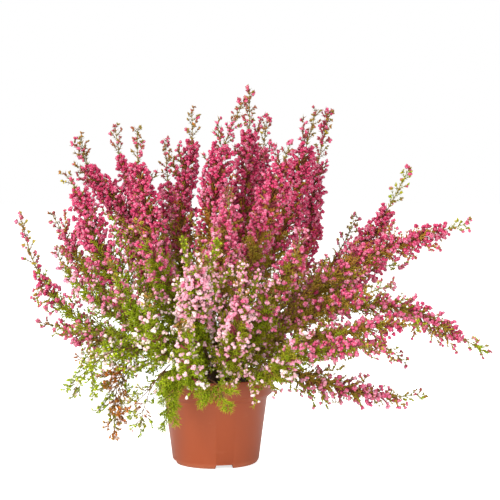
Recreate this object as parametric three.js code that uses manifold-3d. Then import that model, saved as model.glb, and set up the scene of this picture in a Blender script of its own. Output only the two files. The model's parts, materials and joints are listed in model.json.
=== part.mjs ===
// A potted heath in flower: a round plastic nursery pot filled with soil, woody stems that fan out of it,
// whorls of short needles, and a plume of bell flowers round each shoot.
// Millimetres, +Z up. The origin is the pot's axis on the surface it stands on, and the front is -Y.
import * as THREE from 'three';
import { mergeVertices } from 'three/addons/utils/BufferGeometryUtils.js';
import Module from 'manifold-3d';

const wasm = await Module();
wasm.setup();

// Driving dimensions of the pot
const POT_SIDES = 32;
const RIM_RADIUS = 60;
const RIM_TOP = 90.6;
const RIM_BOTTOM = 73.4;
const BODY_TOP = 68;
const BODY_TOP_RADIUS = 53.6;
const BODY_FOOT_RADIUS = 45;
const FOOT_RADIUS = 43;
const FOOT_ROUND = 3;
const WALL = 1.5;
const FLOOR = 4;
const PAD_RADIUS = 9;
const DRAIN_RADIUS = 3.5;
const DRAIN_CIRCLE = 30;
const NOTCH_WIDTH = 18;
const NOTCH_HEIGHT = 3.7;
const NOTCH_AZIMUTH = -77;
const QUARTERS = 4;
const CUT_PAST = 1;

// Driving dimensions of the soil and of the holes that the stems stand in
const SOIL_TOP = 84;
const SOIL_EDGE = 79.5;
const ROOT_DEPTH = 16;
const GAP = 0.3;
const HOLE_SIDES = 6;
const SOIL_SIDES = 24;
const SOIL_CROWN = 32;
const SOIL_SHOULDER = 76.4;

// Driving dimensions of the stems and the needles
const STEM_SIDES = 3;
const TRUNK_RADIUS = 3.2;
const SHOOT_RADIUS = 1.25;
const TIP_RADIUS = 0.85;
const FIRST_FORK = 12;
const FORK_PITCH = 9;
const BARE_PITCH = 34;
const NEEDLE = 7;
const NEEDLE_SPREAD = 0.15;
const NEEDLE_RISE = 0.85;
const NEEDLE_TURN = 0.3;
const NEEDLE_BAND = 1.8;
const NEEDLE_REACH = 6;
const WHORL_PITCH = 10;
const WHORL_TURN = Math.PI / 3;
const LEAFY_BELOW = 17;
const BARE_END = 1;

// Driving dimensions of the plumes. A plume starts below its foot by a share of the way to the root.
const BLOOM_BELOW_FOOT = 0.3;
const BELOW_PLUME = 8;
const ABOVE_PLUME = 2.5;
const FOOT_FULLNESS = 0.13;
const HEAD_FULLNESS = 0.88;
const SLIM_GIRTH = 15;
const SLIM_SIDES = 5;
const FULL_SIDES = 6;
const CORE_SHARE = 0.5;
const LEAST_CORE = 4.6;
const BORE_TURNING = 0.25;
const ROW_HEIGHT = 18;
const ROW_TWIST = 0.3;
const LEAST_ROWS = 3;
const BUD_ROWS = 2;
const BELL_EVERY = 3;
const BELL_SHARE = 0.8;
const BELL_TILT = 0.35;
const BELL_SPREAD = 0.16;
const BELL_PROUD = 1;

// How shoots are bent clear of each other: the room they keep, the radius that bare wood takes up,
// and how freely they give way in width, depth and height, of which depth is the freest
const CLEAR = 1.6;
const BARE_GIRTH = 2.2;
const BEND_ROUNDS = 70;
const BEND_STATIONS = 30;
const BEND_SPEED = 0.9;
const BEND_WAYS = new THREE.Vector3(0.4, 1, 0.4);
const SIDE_STEP = 1;
const REACH_PITCH = 3;

// How near corners are taken for one corner when a shape is closed
const WELD = 1e-4;

// Colours, as sRGB, and roughnesses
const TERRACOTTA = '#b5633f';
const SOIL_BROWN = '#3a2a1e';
const SHOOT_GREEN = '#6d7a2c';
const MAGENTA = '#c2447c';
const PALE_PINK = '#eec3cf';
const PLASTIC_ROUGHNESS = 0.45;
const SOIL_ROUGHNESS = 0.95;
const LEAF_ROUGHNESS = 0.7;
const BELL_ROUGHNESS = 0.6;

// The bush. Each stem stands in the soil at its root, and forks into shoots. A shoot is led through
// the foot and the head of its plume to its tip. girth is the plume's radius, and tone runs from
// magenta, 0, to pale pink, 1. A sprig is a leafy shoot with no plume.
const BUSH = [
  {
    name: 'left',
    root: [-24, -5],
    shoots: [
      { foot: [-149, -10, 154], head: [-184, -15, 203], tip: [-200, -15, 255], girth: 12.5, tone: 0.15 },
      { foot: [-115, -50, 170], head: [-150, -70, 210], tip: [-155, -75, 225], girth: 11.2, tone: 0.5 },
      { foot: [-115, -30, 215], head: [-140, -40, 285], tip: [-150, -40, 300], girth: 17.5, tone: 0.1 },
      { foot: [-75, -15, 120], head: [-98, -18, 90], tip: [-105, -20, 40], sprig: true },
    ],
  },
  {
    name: 'left_back',
    root: [-22, 10],
    shoots: [
      { foot: [-88, 15, 253], head: [-133, 15, 309], tip: [-141, 15, 337], girth: 17.5, tone: 0.05 },
      { foot: [-130, 50, 180], head: [-170, 70, 240], tip: [-180, 75, 255], girth: 13.8, tone: 0.15 },
      { foot: [-120, 30, 120], head: [-175, 40, 135], tip: [-190, 45, 140], girth: 13.8, tone: 0.3 },
      { foot: [-90, 12, 125], head: [-120, 20, 120], tip: [-140, 30, 105], sprig: true },
    ],
  },
  {
    name: 'left_front',
    root: [-15, -19],
    shoots: [
      { foot: [-44, -66, 176], head: [-68, -96, 236], tip: [-76, -100, 254], girth: 17.5, tone: 0.35 },
      { foot: [-65, -60, 155], head: [-95, -90, 200], tip: [-100, -100, 215], girth: 13.8, tone: 0.5 },
      { foot: [-35, -80, 130], head: [-60, -120, 175], tip: [-65, -135, 185], girth: 13.8, tone: 0.8 },
      { foot: [-80, -40, 125], head: [-115, -55, 115], tip: [-140, -60, 85], sprig: true },
      { foot: [-42, -42, 110], head: [-62, -58, 88], tip: [-75, -70, 50], sprig: true },
    ],
  },
  {
    name: 'front',
    root: [-2, -24],
    shoots: [
      { foot: [-10, -80, 140], head: [-10, -140, 210], tip: [-10, -150, 225], girth: 18.8, tone: 0.7 },
      { foot: [-15, -90, 105], head: [-25, -130, 150], tip: [-30, -145, 160], girth: 15, tone: 0.9 },
      { foot: [-27, -54, 110], head: [-38, -78, 96], tip: [-45, -92, 65], sprig: true },
      { foot: [-8, -58, 104], head: [0, -84, 98], tip: [12, -98, 74], sprig: true },
    ],
  },
  {
    name: 'right_front',
    root: [13, -20],
    shoots: [
      { foot: [15, -75, 125], head: [25, -125, 185], tip: [25, -140, 200], girth: 17.5, tone: 0.65 },
      { foot: [40, -60, 130], head: [55, -100, 180], tip: [60, -110, 195], girth: 16.2, tone: 0.5 },
      { foot: [50, -85, 115], head: [85, -125, 145], tip: [90, -135, 150], girth: 15, tone: 0.6 },
      { foot: [90, -75, 130], head: [142, -105, 136], tip: [160, -113, 130], girth: 13.8, tone: 0.3 },
    ],
  },
  {
    name: 'right_low',
    root: [22, -10],
    shoots: [
      { foot: [160, -30, 210], head: [235, -45, 245], tip: [255, -45, 250], girth: 16.2, tone: 0.12 },
      { foot: [105, -45, 155], head: [155, -65, 185], tip: [175, -70, 190], girth: 16.2, tone: 0.25 },
      { foot: [130, -60, 150], head: [190, -85, 155], tip: [205, -90, 150], girth: 15, tone: 0.2 },
      { foot: [106, -35, 88], head: [186, -48, 75], tip: [210, -52, 79], girth: 16.2, tone: 0.35 },
    ],
  },
  {
    name: 'right',
    root: [24, 3],
    shoots: [
      { foot: [135, 0, 200], head: [180, 0, 265], tip: [200, 0, 305], girth: 15, tone: 0.05 },
      { foot: [185, -10, 165], head: [255, -15, 130], tip: [280, -15, 115], girth: 16.2, tone: 0.2 },
      { foot: [130, 20, 120], head: [180, 25, 115], tip: [200, 25, 100], girth: 13.8, tone: 0.15 },
      { foot: [120, 40, 170], head: [180, 55, 200], tip: [200, 60, 200], girth: 16.2, tone: 0.2 },
    ],
  },
  {
    name: 'right_back',
    root: [18, 15],
    shoots: [
      { foot: [97, 45, 210], head: [109, 65, 310], tip: [122, 75, 365], girth: 15, tone: 0 },
      { foot: [40, 70, 255], head: [50, 95, 325], tip: [55, 105, 360], girth: 16.2, tone: 0 },
      { foot: [105, 70, 170], head: [135, 95, 215], tip: [155, 110, 250], girth: 12.5, tone: 0.2 },
    ],
  },
  {
    name: 'inner_left',
    root: [-9, -3],
    shoots: [
      { foot: [-65, -5, 235], head: [-80, -10, 310], tip: [-80, -10, 345], girth: 17.5, tone: 0.08 },
      { foot: [-85, 50, 265], head: [-105, 65, 320], tip: [-110, 70, 350], girth: 11.2, tone: 0.08 },
    ],
  },
  {
    name: 'inner_right',
    root: [8, -6],
    shoots: [
      { foot: [70, 5, 245], head: [95, 15, 330], tip: [105, 15, 365], girth: 20, tone: 0.05 },
      { foot: [50, -45, 245], head: [70, -60, 315], tip: [75, -65, 330], girth: 18.8, tone: 0.12 },
      { foot: [60, -55, 175], head: [80, -85, 230], tip: [85, -95, 245], girth: 17.5, tone: 0.3 },
      { foot: [10, -65, 215], head: [15, -90, 270], tip: [15, -95, 285], girth: 18.8, tone: 0.3 },
    ],
  },
  {
    name: 'middle',
    root: [0, 8],
    shoots: [
      { foot: [30, 30, 270], head: [35, 35, 345], tip: [35, 40, 388], girth: 17.5, tone: 0 },
      { foot: [-5, -10, 255], head: [10, -20, 330], tip: [30, -25, 375], girth: 20, tone: 0.1 },
      { foot: [-35, 15, 265], head: [-25, 20, 335], tip: [-25, 20, 365], girth: 15, tone: 0.05 },
    ],
  },
  {
    name: 'back_left',
    root: [-11, 21],
    shoots: [
      { foot: [-76, 86, 178], head: [-103, 124, 242], tip: [-110, 134, 264], girth: 17.5, tone: 0.15 },
      { foot: [-85, 95, 130], head: [-125, 130, 165], tip: [-135, 140, 175], girth: 16.2, tone: 0.35 },
      { foot: [-30, 100, 125], head: [-40, 150, 160], tip: [-45, 160, 170], girth: 17.5, tone: 0.55 },
      { foot: [-42, 75, 220], head: [-55, 100, 290], tip: [-58, 108, 335], girth: 17.5, tone: 0.1 },
    ],
  },
  {
    name: 'back_right',
    root: [5, 25],
    shoots: [
      { foot: [25, 95, 180], head: [35, 135, 235], tip: [35, 145, 255], girth: 17.5, tone: 0.2 },
      { foot: [30, 100, 115], head: [50, 150, 145], tip: [55, 160, 150], girth: 16.2, tone: 0.6 },
      { foot: [80, 105, 140], head: [110, 145, 185], tip: [120, 155, 195], girth: 16.2, tone: 0.35 },
    ],
  },
];
const DRAW_SEED = 2718;

// Random numbers from 0 to 1 that come out the same on every run
function dice(seed) {
  let state = seed;
  return () => {
    state = (state + 0x6d2b79f5) | 0;
    let t = Math.imul(state ^ (state >>> 15), 1 | state);
    t = (t + Math.imul(t ^ (t >>> 7), 61 | t)) ^ t;
    return ((t ^ (t >>> 14)) >>> 0) / 4294967296;
  };
}

const UP = new THREE.Vector3(0, 0, 1);
const vector = (list) => new THREE.Vector3(...list);

// A smooth curve through points, with knots at the lengths of its chords. It leaves the first point
// along start, and passes each of the others along the mean of the chords beside it.
class Route {
  constructor(points, start) {
    this.points = points;
    this.knots = [0];
    this.spans = [];
    const chords = [];
    for (let i = 0; i + 1 < points.length; i++) {
      const chord = points[i + 1].clone().sub(points[i]);
      this.spans.push(chord.length());
      this.knots.push(this.knots[i] + this.spans[i]);
      chords.push(chord.divideScalar(this.spans[i]));
    }
    this.slopes = [start.clone().normalize()];
    for (let i = 1; i + 1 < points.length; i++) {
      const before = chords[i - 1].clone().multiplyScalar(this.spans[i]);
      const after = chords[i].clone().multiplyScalar(this.spans[i - 1]);
      this.slopes.push(before.add(after).divideScalar(this.spans[i - 1] + this.spans[i]));
    }
    this.slopes.push(chords[chords.length - 1].clone());
    this.length = this.knots[points.length - 1];
    this.side = UP.clone().cross(points[points.length - 1].clone().sub(points[0])).normalize();
  }

  span(s) {
    let i = 0;
    while (i + 2 < this.knots.length && s > this.knots[i + 1]) i += 1;
    return { i, u: (s - this.knots[i]) / this.spans[i] };
  }

  at(s) {
    const { i, u } = this.span(s);
    const h = this.spans[i];
    return new THREE.Vector3()
      .addScaledVector(this.points[i], 2 * u ** 3 - 3 * u * u + 1)
      .addScaledVector(this.slopes[i], (u ** 3 - 2 * u * u + u) * h)
      .addScaledVector(this.points[i + 1], 3 * u * u - 2 * u ** 3)
      .addScaledVector(this.slopes[i + 1], (u ** 3 - u * u) * h);
  }

  tangent(s) {
    const { i, u } = this.span(s);
    const h = this.spans[i];
    return new THREE.Vector3()
      .addScaledVector(this.points[i], (6 * u * u - 6 * u) / h)
      .addScaledVector(this.slopes[i], 3 * u * u - 4 * u + 1)
      .addScaledVector(this.points[i + 1], (6 * u - 6 * u * u) / h)
      .addScaledVector(this.slopes[i + 1], 3 * u * u - 2 * u)
      .normalize();
  }

  // The point beside the curve at length s, at an angle round it and a distance from it
  around(s, angle, distance) {
    const along = this.tangent(s);
    const right = this.side.clone().addScaledVector(along, -this.side.dot(along)).normalize();
    const ahead = along.clone().cross(right);
    return this.at(s)
      .addScaledVector(right, distance * Math.cos(angle))
      .addScaledVector(ahead, distance * Math.sin(angle));
  }
}

// How much a point at length s follows the foot, the head and the tip when they are moved
function shares(route, s) {
  const [a, b, c, d] = route.knots;
  if (s <= b) return [(s - a) / (b - a), 0, 0];
  if (s <= c) return [(c - s) / (c - b), (s - b) / (c - b), 0];
  return [0, (d - s) / (d - c), (s - c) / (d - c)];
}

// Where a trunk's branches leave it, as lengths along it
function forkLengths(count) {
  return Array.from({ length: count }, (unused, i) => FIRST_FORK + FORK_PITCH * i);
}

// Leads each shoot's route from its root or its fork. The first shoot of a stem is its trunk.
function lead(stems) {
  for (const stem of stems) {
    const ground = new THREE.Vector3(stem.root[0], stem.root[1], SOIL_TOP);
    stem.shoots.forEach((shoot, order) => {
      if (order === 0) {
        shoot.route = new Route([ground, shoot.foot, shoot.head, shoot.tip], UP);
        return;
      }
      const trunk = stem.shoots[0].route;
      const fork = forkLengths(order).pop();
      const start = trunk.at(fork);
      const aim = shoot.foot.clone().sub(start).normalize().add(trunk.tangent(fork));
      shoot.route = new Route([start, shoot.foot, shoot.head, shoot.tip], aim);
    });
  }
}

// The stretch of a shoot that is in flower. A sprig has none, so it is cut to nothing at its foot.
function bloomOf(shoot) {
  const [, foot, head] = shoot.route.knots;
  return shoot.sprig ? [foot, foot] : [foot * (1 - BLOOM_BELOW_FOOT), head];
}

function isFlower(shoot, s) {
  const [from, to] = bloomOf(shoot);
  return to > from && s >= from && s <= to + ABOVE_PLUME;
}

// The radius that a shoot takes up at length s: bare, leafy or in flower
function girthAt(shoot, s) {
  if (isFlower(shoot, s)) return shoot.girth;
  return s >= bloomOf(shoot)[0] - LEAFY_BELOW ? NEEDLE_REACH : BARE_GIRTH;
}

function stationsOf(shoot, lengths) {
  return lengths.map((s) => ({
    place: shoot.route.at(s),
    girth: girthAt(shoot, s),
    flower: isFlower(shoot, s),
    shares: shares(shoot.route, s),
    s,
  }));
}

function evenly(length, count) {
  return Array.from({ length: count }, (unused, i) => (length * i) / (count - 1));
}

// Two shoots meet without harm only where both are wood or leaf of one stem
function mayTouch(a, p, b, q) {
  return a.stem === b.stem && !p.flower && !q.flower;
}

// Bends shoots that would cross away from each other, mostly in depth, so that the front view stays
function bendClear(stems) {
  const shoots = stems.flatMap((stem) => stem.shoots);
  for (let round = 0; round < BEND_ROUNDS; round++) {
    lead(stems);
    const stations = shoots.map((shoot) => stationsOf(shoot, evenly(shoot.route.length, BEND_STATIONS)));
    const moves = shoots.map(() => [0, 1, 2].map(() => ({ sum: new THREE.Vector3(), weight: 0 })));
    for (let a = 0; a < shoots.length; a++) {
      for (let b = a + 1; b < shoots.length; b++) {
        for (const p of stations[a]) {
          for (const q of stations[b]) {
            if (mayTouch(shoots[a], p, shoots[b], q)) continue;
            const need = p.girth + q.girth + CLEAR;
            const apart = p.place.distanceTo(q.place);
            if (apart >= need) continue;
            const way = q.place.clone().sub(p.place);
            way.y += way.y < 0 ? -SIDE_STEP : SIDE_STEP;
            way.multiply(BEND_WAYS).normalize().multiplyScalar((need - apart) / 2);
            p.shares.forEach((share, k) => push(moves[a][k], way, -share));
            q.shares.forEach((share, k) => push(moves[b][k], way, share));
          }
        }
      }
    }
    shoots.forEach((shoot, i) => {
      [shoot.foot, shoot.head, shoot.tip].forEach((point, k) => {
        const move = moves[i][k];
        if (move.weight > 0) point.addScaledVector(move.sum, BEND_SPEED / move.weight);
      });
    });
  }
  lead(stems);
}

function push(move, way, share) {
  if (share === 0) return;
  move.sum.addScaledVector(way, share);
  move.weight += Math.abs(share);
}

// Works out how far flowers and needles may reach from each shoot before a neighbour's
function measureReach(stems) {
  const shoots = stems.flatMap((stem) => stem.shoots);
  for (const shoot of shoots) {
    const count = Math.ceil(shoot.route.length / REACH_PITCH) + 1;
    shoot.stations = stationsOf(shoot, evenly(shoot.route.length, count));
  }
  for (const shoot of shoots) {
    for (const p of shoot.stations) {
      p.reach = p.girth;
      for (const other of shoots) {
        if (other === shoot) continue;
        for (const q of other.stations) {
          if (mayTouch(shoot, p, other, q)) continue;
          const free = p.place.distanceTo(q.place) - CLEAR;
          const wood = q.girth === BARE_GIRTH;
          const room = wood ? free - q.girth : (free * p.girth) / (p.girth + q.girth);
          p.reach = Math.min(p.reach, room);
        }
      }
    }
  }
}

function reachBetween(shoot, from, to) {
  let reach = Infinity;
  for (const p of shoot.stations) {
    if (p.s >= from - REACH_PITCH && p.s <= to + REACH_PITCH) reach = Math.min(reach, p.reach);
  }
  return reach;
}

// Closes a tube of rings, listed from its start, and raises a needle, a bud or a bell from each cell
// that raise(ring, side) gives one for. bore, if given, holds the rings of a hole along it, and how
// far its first corner is turned from the tube's at either end.
function tube(rings, raise, bore) {
  const corners = [];
  const face = (a, b, c) => corners.push(a, b, c);
  const quad = (a, b, c, d) => {
    face(a, b, d);
    face(b, c, d);
  };
  for (let k = 0; k + 1 < rings.length; k++) {
    const sides = rings[k].length;
    for (let i = 0; i < sides; i++) {
      const j = (i + 1) % sides;
      const cell = [rings[k][i], rings[k][j], rings[k + 1][j], rings[k + 1][i]];
      const raised = raise(k, i);
      if (!raised) {
        quad(...cell);
      } else if (raised.length === 1) {
        for (let e = 0; e < 4; e++) face(cell[e], cell[(e + 1) % 4], raised[0]);
      } else {
        // Walls that grow from one edge are split from the same corner of it, so they can't cross
        quad(cell[1], raised[1], raised[0], cell[0]);
        quad(cell[2], raised[2], raised[1], cell[1]);
        quad(cell[2], cell[3], raised[3], raised[2]);
        quad(cell[3], cell[0], raised[0], raised[3]);
        quad(...raised);
      }
    }
  }
  const last = rings.length - 1;
  if (bore) {
    for (let k = 0; k + 1 < bore.rings.length; k++) {
      const [here, next] = [bore.rings[k], bore.rings[k + 1]];
      for (let i = 0; i < here.length; i++) {
        const j = (i + 1) % here.length;
        quad(here[i], next[i], next[j], here[j]);
      }
    }
    collar(rings[0], bore.rings[0], bore.lags[0], (a, b, c) => face(a, c, b));
    collar(rings[last], bore.rings[bore.rings.length - 1], bore.lags[1], face);
  } else {
    for (let i = 1; i + 1 < rings[0].length; i++) {
      face(rings[0][0], rings[0][i + 1], rings[0][i]);
      face(rings[last][0], rings[last][i], rings[last][i + 1]);
    }
  }
  const geometry = new THREE.BufferGeometry().setFromPoints(corners);
  return mergeVertices(geometry, WELD);
}

// The flat ring between an outer and an inner polygon. lag is the angle from the outer one's first
// corner to the inner one's. Of the two next edges, the one whose middle comes first is joined first.
function collar(outer, inner, lag, face) {
  const outerStep = (2 * Math.PI) / outer.length;
  const innerStep = (2 * Math.PI) / inner.length;
  const skip = Math.round(-lag / innerStep);
  const start = lag + skip * innerStep;
  const innerAt = (j) => inner[(((j + skip) % inner.length) + inner.length) % inner.length];
  let i = 0;
  let j = 0;
  while (i < outer.length || j < inner.length) {
    const outerNext = (i + 0.5) * outerStep <= start + (j + 0.5) * innerStep;
    const a = outer[i % outer.length];
    if (j === inner.length || (outerNext && i < outer.length)) {
      face(a, outer[(i + 1) % outer.length], innerAt(j));
      i += 1;
    } else {
      face(a, innerAt(j + 1), innerAt(j));
      j += 1;
    }
  }
}

function ring(route, s, radius, sides, turn) {
  return Array.from({ length: sides }, (unused, i) =>
    route.around(s, turn + (2 * Math.PI * i) / sides, radius));
}

// The lengths at which a shoot's wood has a ring inside its plume, and the plume's bore with it
function boreLengths(shoot) {
  const [from, to] = bloomOf(shoot);
  let turning = 0;
  for (const [a, b] of [[from, (from + to) / 2], [(from + to) / 2, to]]) {
    turning += shoot.route.tangent(a).angleTo(shoot.route.tangent(b));
  }
  const count = Math.ceil(Math.max(rowCount(shoot) / 2, turning / BORE_TURNING));
  return Array.from({ length: count + 1 }, (unused, i) => from + ((to - from) * i) / count);
}

function rowCount(shoot) {
  const [from, to] = bloomOf(shoot);
  return Math.max(LEAST_ROWS, Math.round((to - from) / ROW_HEIGHT));
}

// A shoot's rings of wood: each has its length along the shoot, its turn and whether needles start
// there. Needles stand in whorls below the plume, above it, and all along a sprig.
function woodRings(shoot, leader) {
  const { route } = shoot;
  const [from, to] = bloomOf(shoot);
  const end = route.length;
  const list = [];
  let turn = 0;
  const whorls = (low, high) => {
    const count = Math.max(1, Math.round((high - low) / WHORL_PITCH));
    const pitch = (high - low) / count;
    for (let i = 0; i < count; i++) {
      turn += WHORL_TURN;
      list.push({ s: low + pitch * i, turn, needles: true });
      list.push({ s: low + pitch * i + NEEDLE_BAND, turn, needles: false });
    }
  };
  const bareEnd = from - LEAFY_BELOW;
  if (leader) list.push({ s: -ROOT_DEPTH, turn: 0, needles: false });
  const bends = leader ? [0, ...forkLengths(shoot.branches)] : [0];
  const bendEnd = bends[bends.length - 1];
  const bare = Math.max(1, Math.round((bareEnd - bendEnd) / BARE_PITCH));
  for (let i = 1; i < bare; i++) bends.push(bendEnd + ((bareEnd - bendEnd) * i) / bare);
  for (const s of bends) list.push({ s, turn: 0, needles: false });
  if (shoot.sprig) {
    whorls(bareEnd, end - BARE_END);
  } else {
    whorls(bareEnd, from - BELOW_PLUME + WHORL_PITCH);
    for (const s of boreLengths(shoot)) list.push({ s, turn, needles: false, inPlume: true });
    whorls(to + ABOVE_PLUME, end - BARE_END);
  }
  list.push({ s: end, turn, needles: false });
  return list;
}

function woodRadius(shoot, s, leader) {
  const [, foot, , end] = shoot.route.knots;
  const thick = leader ? TRUNK_RADIUS : SHOOT_RADIUS;
  if (leader && s <= FIRST_FORK) return TRUNK_RADIUS;
  if (s <= foot) return THREE.MathUtils.lerp(thick, SHOOT_RADIUS, Math.sqrt(s / foot));
  return THREE.MathUtils.lerp(SHOOT_RADIUS, TIP_RADIUS, (s - foot) / (end - foot));
}

// The wood and the needles of one shoot
function wood(shoot, leader, random) {
  const { route } = shoot;
  const list = woodRings(shoot, leader);
  const rings = list.map(({ s, turn }) => {
    const radius = woodRadius(shoot, s, leader);
    if (s < 0) {
      return ring(route, 0, radius, STEM_SIDES, turn).map((p) => p.addScaledVector(UP, s));
    }
    return ring(route, s, radius, STEM_SIDES, turn);
  });
  const needle = (k, i) => {
    if (!list[k].needles) return null;
    const { s, turn } = list[k];
    const middle = s + NEEDLE_BAND / 2;
    const room = Math.min(NEEDLE_REACH, reachBetween(shoot, middle, middle + NEEDLE)) / NEEDLE_REACH;
    const length = NEEDLE * Math.min(1, room) * (1 - NEEDLE_SPREAD * random());
    const angle = turn + (2 * Math.PI * (i + 0.5)) / STEM_SIDES + NEEDLE_TURN * (random() - 0.5);
    const out = length * Math.cos(NEEDLE_RISE) + woodRadius(shoot, s, leader);
    const rise = length * Math.sin(NEEDLE_RISE);
    return [route.around(middle, angle, out).addScaledVector(route.tangent(middle), rise)];
  };
  return tube(rings, needle);
}

// How full a plume is at a share of its height: it swells from its foot and tapers to its head
function fullness(share) {
  return Math.sqrt(Math.sin(Math.PI * THREE.MathUtils.lerp(FOOT_FULLNESS, HEAD_FULLNESS, share)));
}

// The flowers of one shoot: a slim core round its wood, covered with open bells and pointed buds
function plume(shoot, random) {
  const { route } = shoot;
  const [from, to] = bloomOf(shoot);
  const rows = rowCount(shoot);
  const sides = shoot.girth > SLIM_GIRTH ? FULL_SIDES : SLIM_SIDES;
  const height = (to - from) / rows;
  const cell = (2 * Math.PI) / sides;
  const start = random() * cell;
  const turnAt = (row) => start + row * ROW_TWIST * cell;
  const reachOf = (row) => {
    const low = from + Math.max(0, row) * height;
    const lean = BELL_TILT * shoot.girth * (1 - CORE_SHARE);
    return Math.min(shoot.girth, reachBetween(shoot, low, low + height + lean));
  };
  const coreOf = (row) => {
    const free = Math.min(reachOf(row - 1), reachOf(Math.min(row, rows - 1)));
    const wide = CORE_SHARE * fullness(row / rows) * free;
    return Math.max(LEAST_CORE, wide);
  };
  const rings = [];
  for (let row = 0; row <= rows; row++) {
    rings.push(ring(route, from + row * height, coreOf(row), sides, turnAt(row)));
  }
  const inner = boreLengths(shoot).map((s) => {
    const radius = woodRadius(shoot, s, false) + GAP / Math.cos(Math.PI / STEM_SIDES);
    return ring(route, s, radius, STEM_SIDES, shoot.plumeTurn);
  });
  const flower = (row, side) => {
    const core = (coreOf(row) + coreOf(row + 1)) / 2;
    const wanted = shoot.girth * fullness((row + 0.5) / rows) * (1 - BELL_SPREAD * random());
    const distance = Math.max(core + BELL_PROUD, Math.min(reachOf(row), wanted));
    const middle = turnAt(row + 0.5) + (side + 0.5) * cell;
    const centre = from + (row + 0.5) * height + BELL_TILT * (distance - core);
    const bell = row < rows - BUD_ROWS && (row + side) % BELL_EVERY === 0;
    if (!bell) return [route.around(centre, middle, distance)];
    const corner = (across, up) => {
      const turn = middle + BELL_SHARE * (across + up * ROW_TWIST) * 0.5 * cell;
      return route.around(centre + BELL_SHARE * up * 0.5 * height, turn, distance);
    };
    return [corner(-1, -1), corner(1, -1), corner(1, 1), corner(-1, 1)];
  };
  const lags = [shoot.plumeTurn - turnAt(0), shoot.plumeTurn - turnAt(rows)];
  return tube(rings, flower, { rings: inner, lags });
}

// A closed three.js geometry as a solid that can be joined and cut
function solid(geometry) {
  const bare = geometry.clone();
  bare.deleteAttribute('normal');
  bare.deleteAttribute('uv');
  const merged = mergeVertices(bare, WELD);
  const corners = merged.index.array;
  const kept = [];
  for (let i = 0; i < corners.length; i += 3) {
    const [a, b, c] = [corners[i], corners[i + 1], corners[i + 2]];
    if (a !== b && b !== c && c !== a) kept.push(a, b, c);
  }
  return new wasm.Manifold(new wasm.Mesh({
    numProp: 3,
    vertProperties: new Float32Array(merged.attributes.position.array),
    triVerts: new Uint32Array(kept),
  }));
}

function geometryOf(manifold) {
  const { vertProperties, triVerts } = manifold.getMesh();
  const geometry = new THREE.BufferGeometry();
  geometry.setAttribute('position', new THREE.BufferAttribute(vertProperties, 3));
  geometry.setIndex(new THREE.BufferAttribute(triVerts, 1));
  return geometry;
}

// A body turned about +Z from a profile of [radius, height] pairs that closes on itself
function turned(profile, sides) {
  const points = profile.map(([radius, height]) => new THREE.Vector2(radius, height));
  return new THREE.LatheGeometry(points, sides).rotateX(Math.PI / 2);
}

// A prism with its foot at z, standing along +Z
function prism(outline, z, height) {
  const shape = new THREE.Shape(outline.map(([x, y]) => new THREE.Vector2(x, y)));
  return new THREE.ExtrudeGeometry(shape, { depth: height, bevelEnabled: false }).translate(0, 0, z);
}

function polygon(x, y, radius, sides) {
  return Array.from({ length: sides }, (unused, i) => {
    const angle = (2 * Math.PI * i) / sides;
    return [x + radius * Math.cos(angle), y + radius * Math.sin(angle)];
  });
}

// The pot: a tapered wall with a deep rim band, a raised floor on a round pad, drain holes in the
// floor and notches in the foot
function pot() {
  const slope = (BODY_TOP_RADIUS - BODY_FOOT_RADIUS) / (BODY_TOP - FOOT_ROUND);
  const floorTop = FLOOR + WALL;
  const floorRadius = BODY_FOOT_RADIUS + slope * (floorTop - FOOT_ROUND) - WALL;
  const profile = [
    [0, 0],
    [PAD_RADIUS, 0],
    [PAD_RADIUS, FLOOR],
    [FOOT_RADIUS - WALL, FLOOR],
    [FOOT_RADIUS - WALL, 0],
    [FOOT_RADIUS, 0],
    [BODY_FOOT_RADIUS, FOOT_ROUND],
    [BODY_TOP_RADIUS, BODY_TOP],
    [RIM_RADIUS, RIM_BOTTOM],
    [RIM_RADIUS, RIM_TOP],
    [RIM_RADIUS - WALL, RIM_TOP],
    [RIM_RADIUS - WALL, RIM_BOTTOM + WALL / 2],
    [BODY_TOP_RADIUS - WALL, BODY_TOP + WALL / 2],
    [floorRadius, floorTop],
    [0, floorTop],
  ];
  let body = solid(turned(profile, POT_SIDES));
  for (let i = 0; i < QUARTERS; i++) {
    const turn = THREE.MathUtils.degToRad(NOTCH_AZIMUTH + (360 / QUARTERS) * i);
    const notch = prism([
      [FOOT_RADIUS - 2 * WALL, -NOTCH_WIDTH / 2],
      [BODY_TOP_RADIUS, -NOTCH_WIDTH / 2],
      [BODY_TOP_RADIUS, NOTCH_WIDTH / 2],
      [FOOT_RADIUS - 2 * WALL, NOTCH_WIDTH / 2],
    ], -CUT_PAST, NOTCH_HEIGHT + CUT_PAST);
    body = body.subtract(solid(notch.rotateZ(turn)));
    const round = polygon(DRAIN_CIRCLE, 0, DRAIN_RADIUS, HOLE_SIDES);
    const drain = prism(round, FLOOR - CUT_PAST, WALL + 2 * CUT_PAST);
    body = body.subtract(solid(drain.rotateZ(turn)));
  }
  return geometryOf(body);
}

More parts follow.
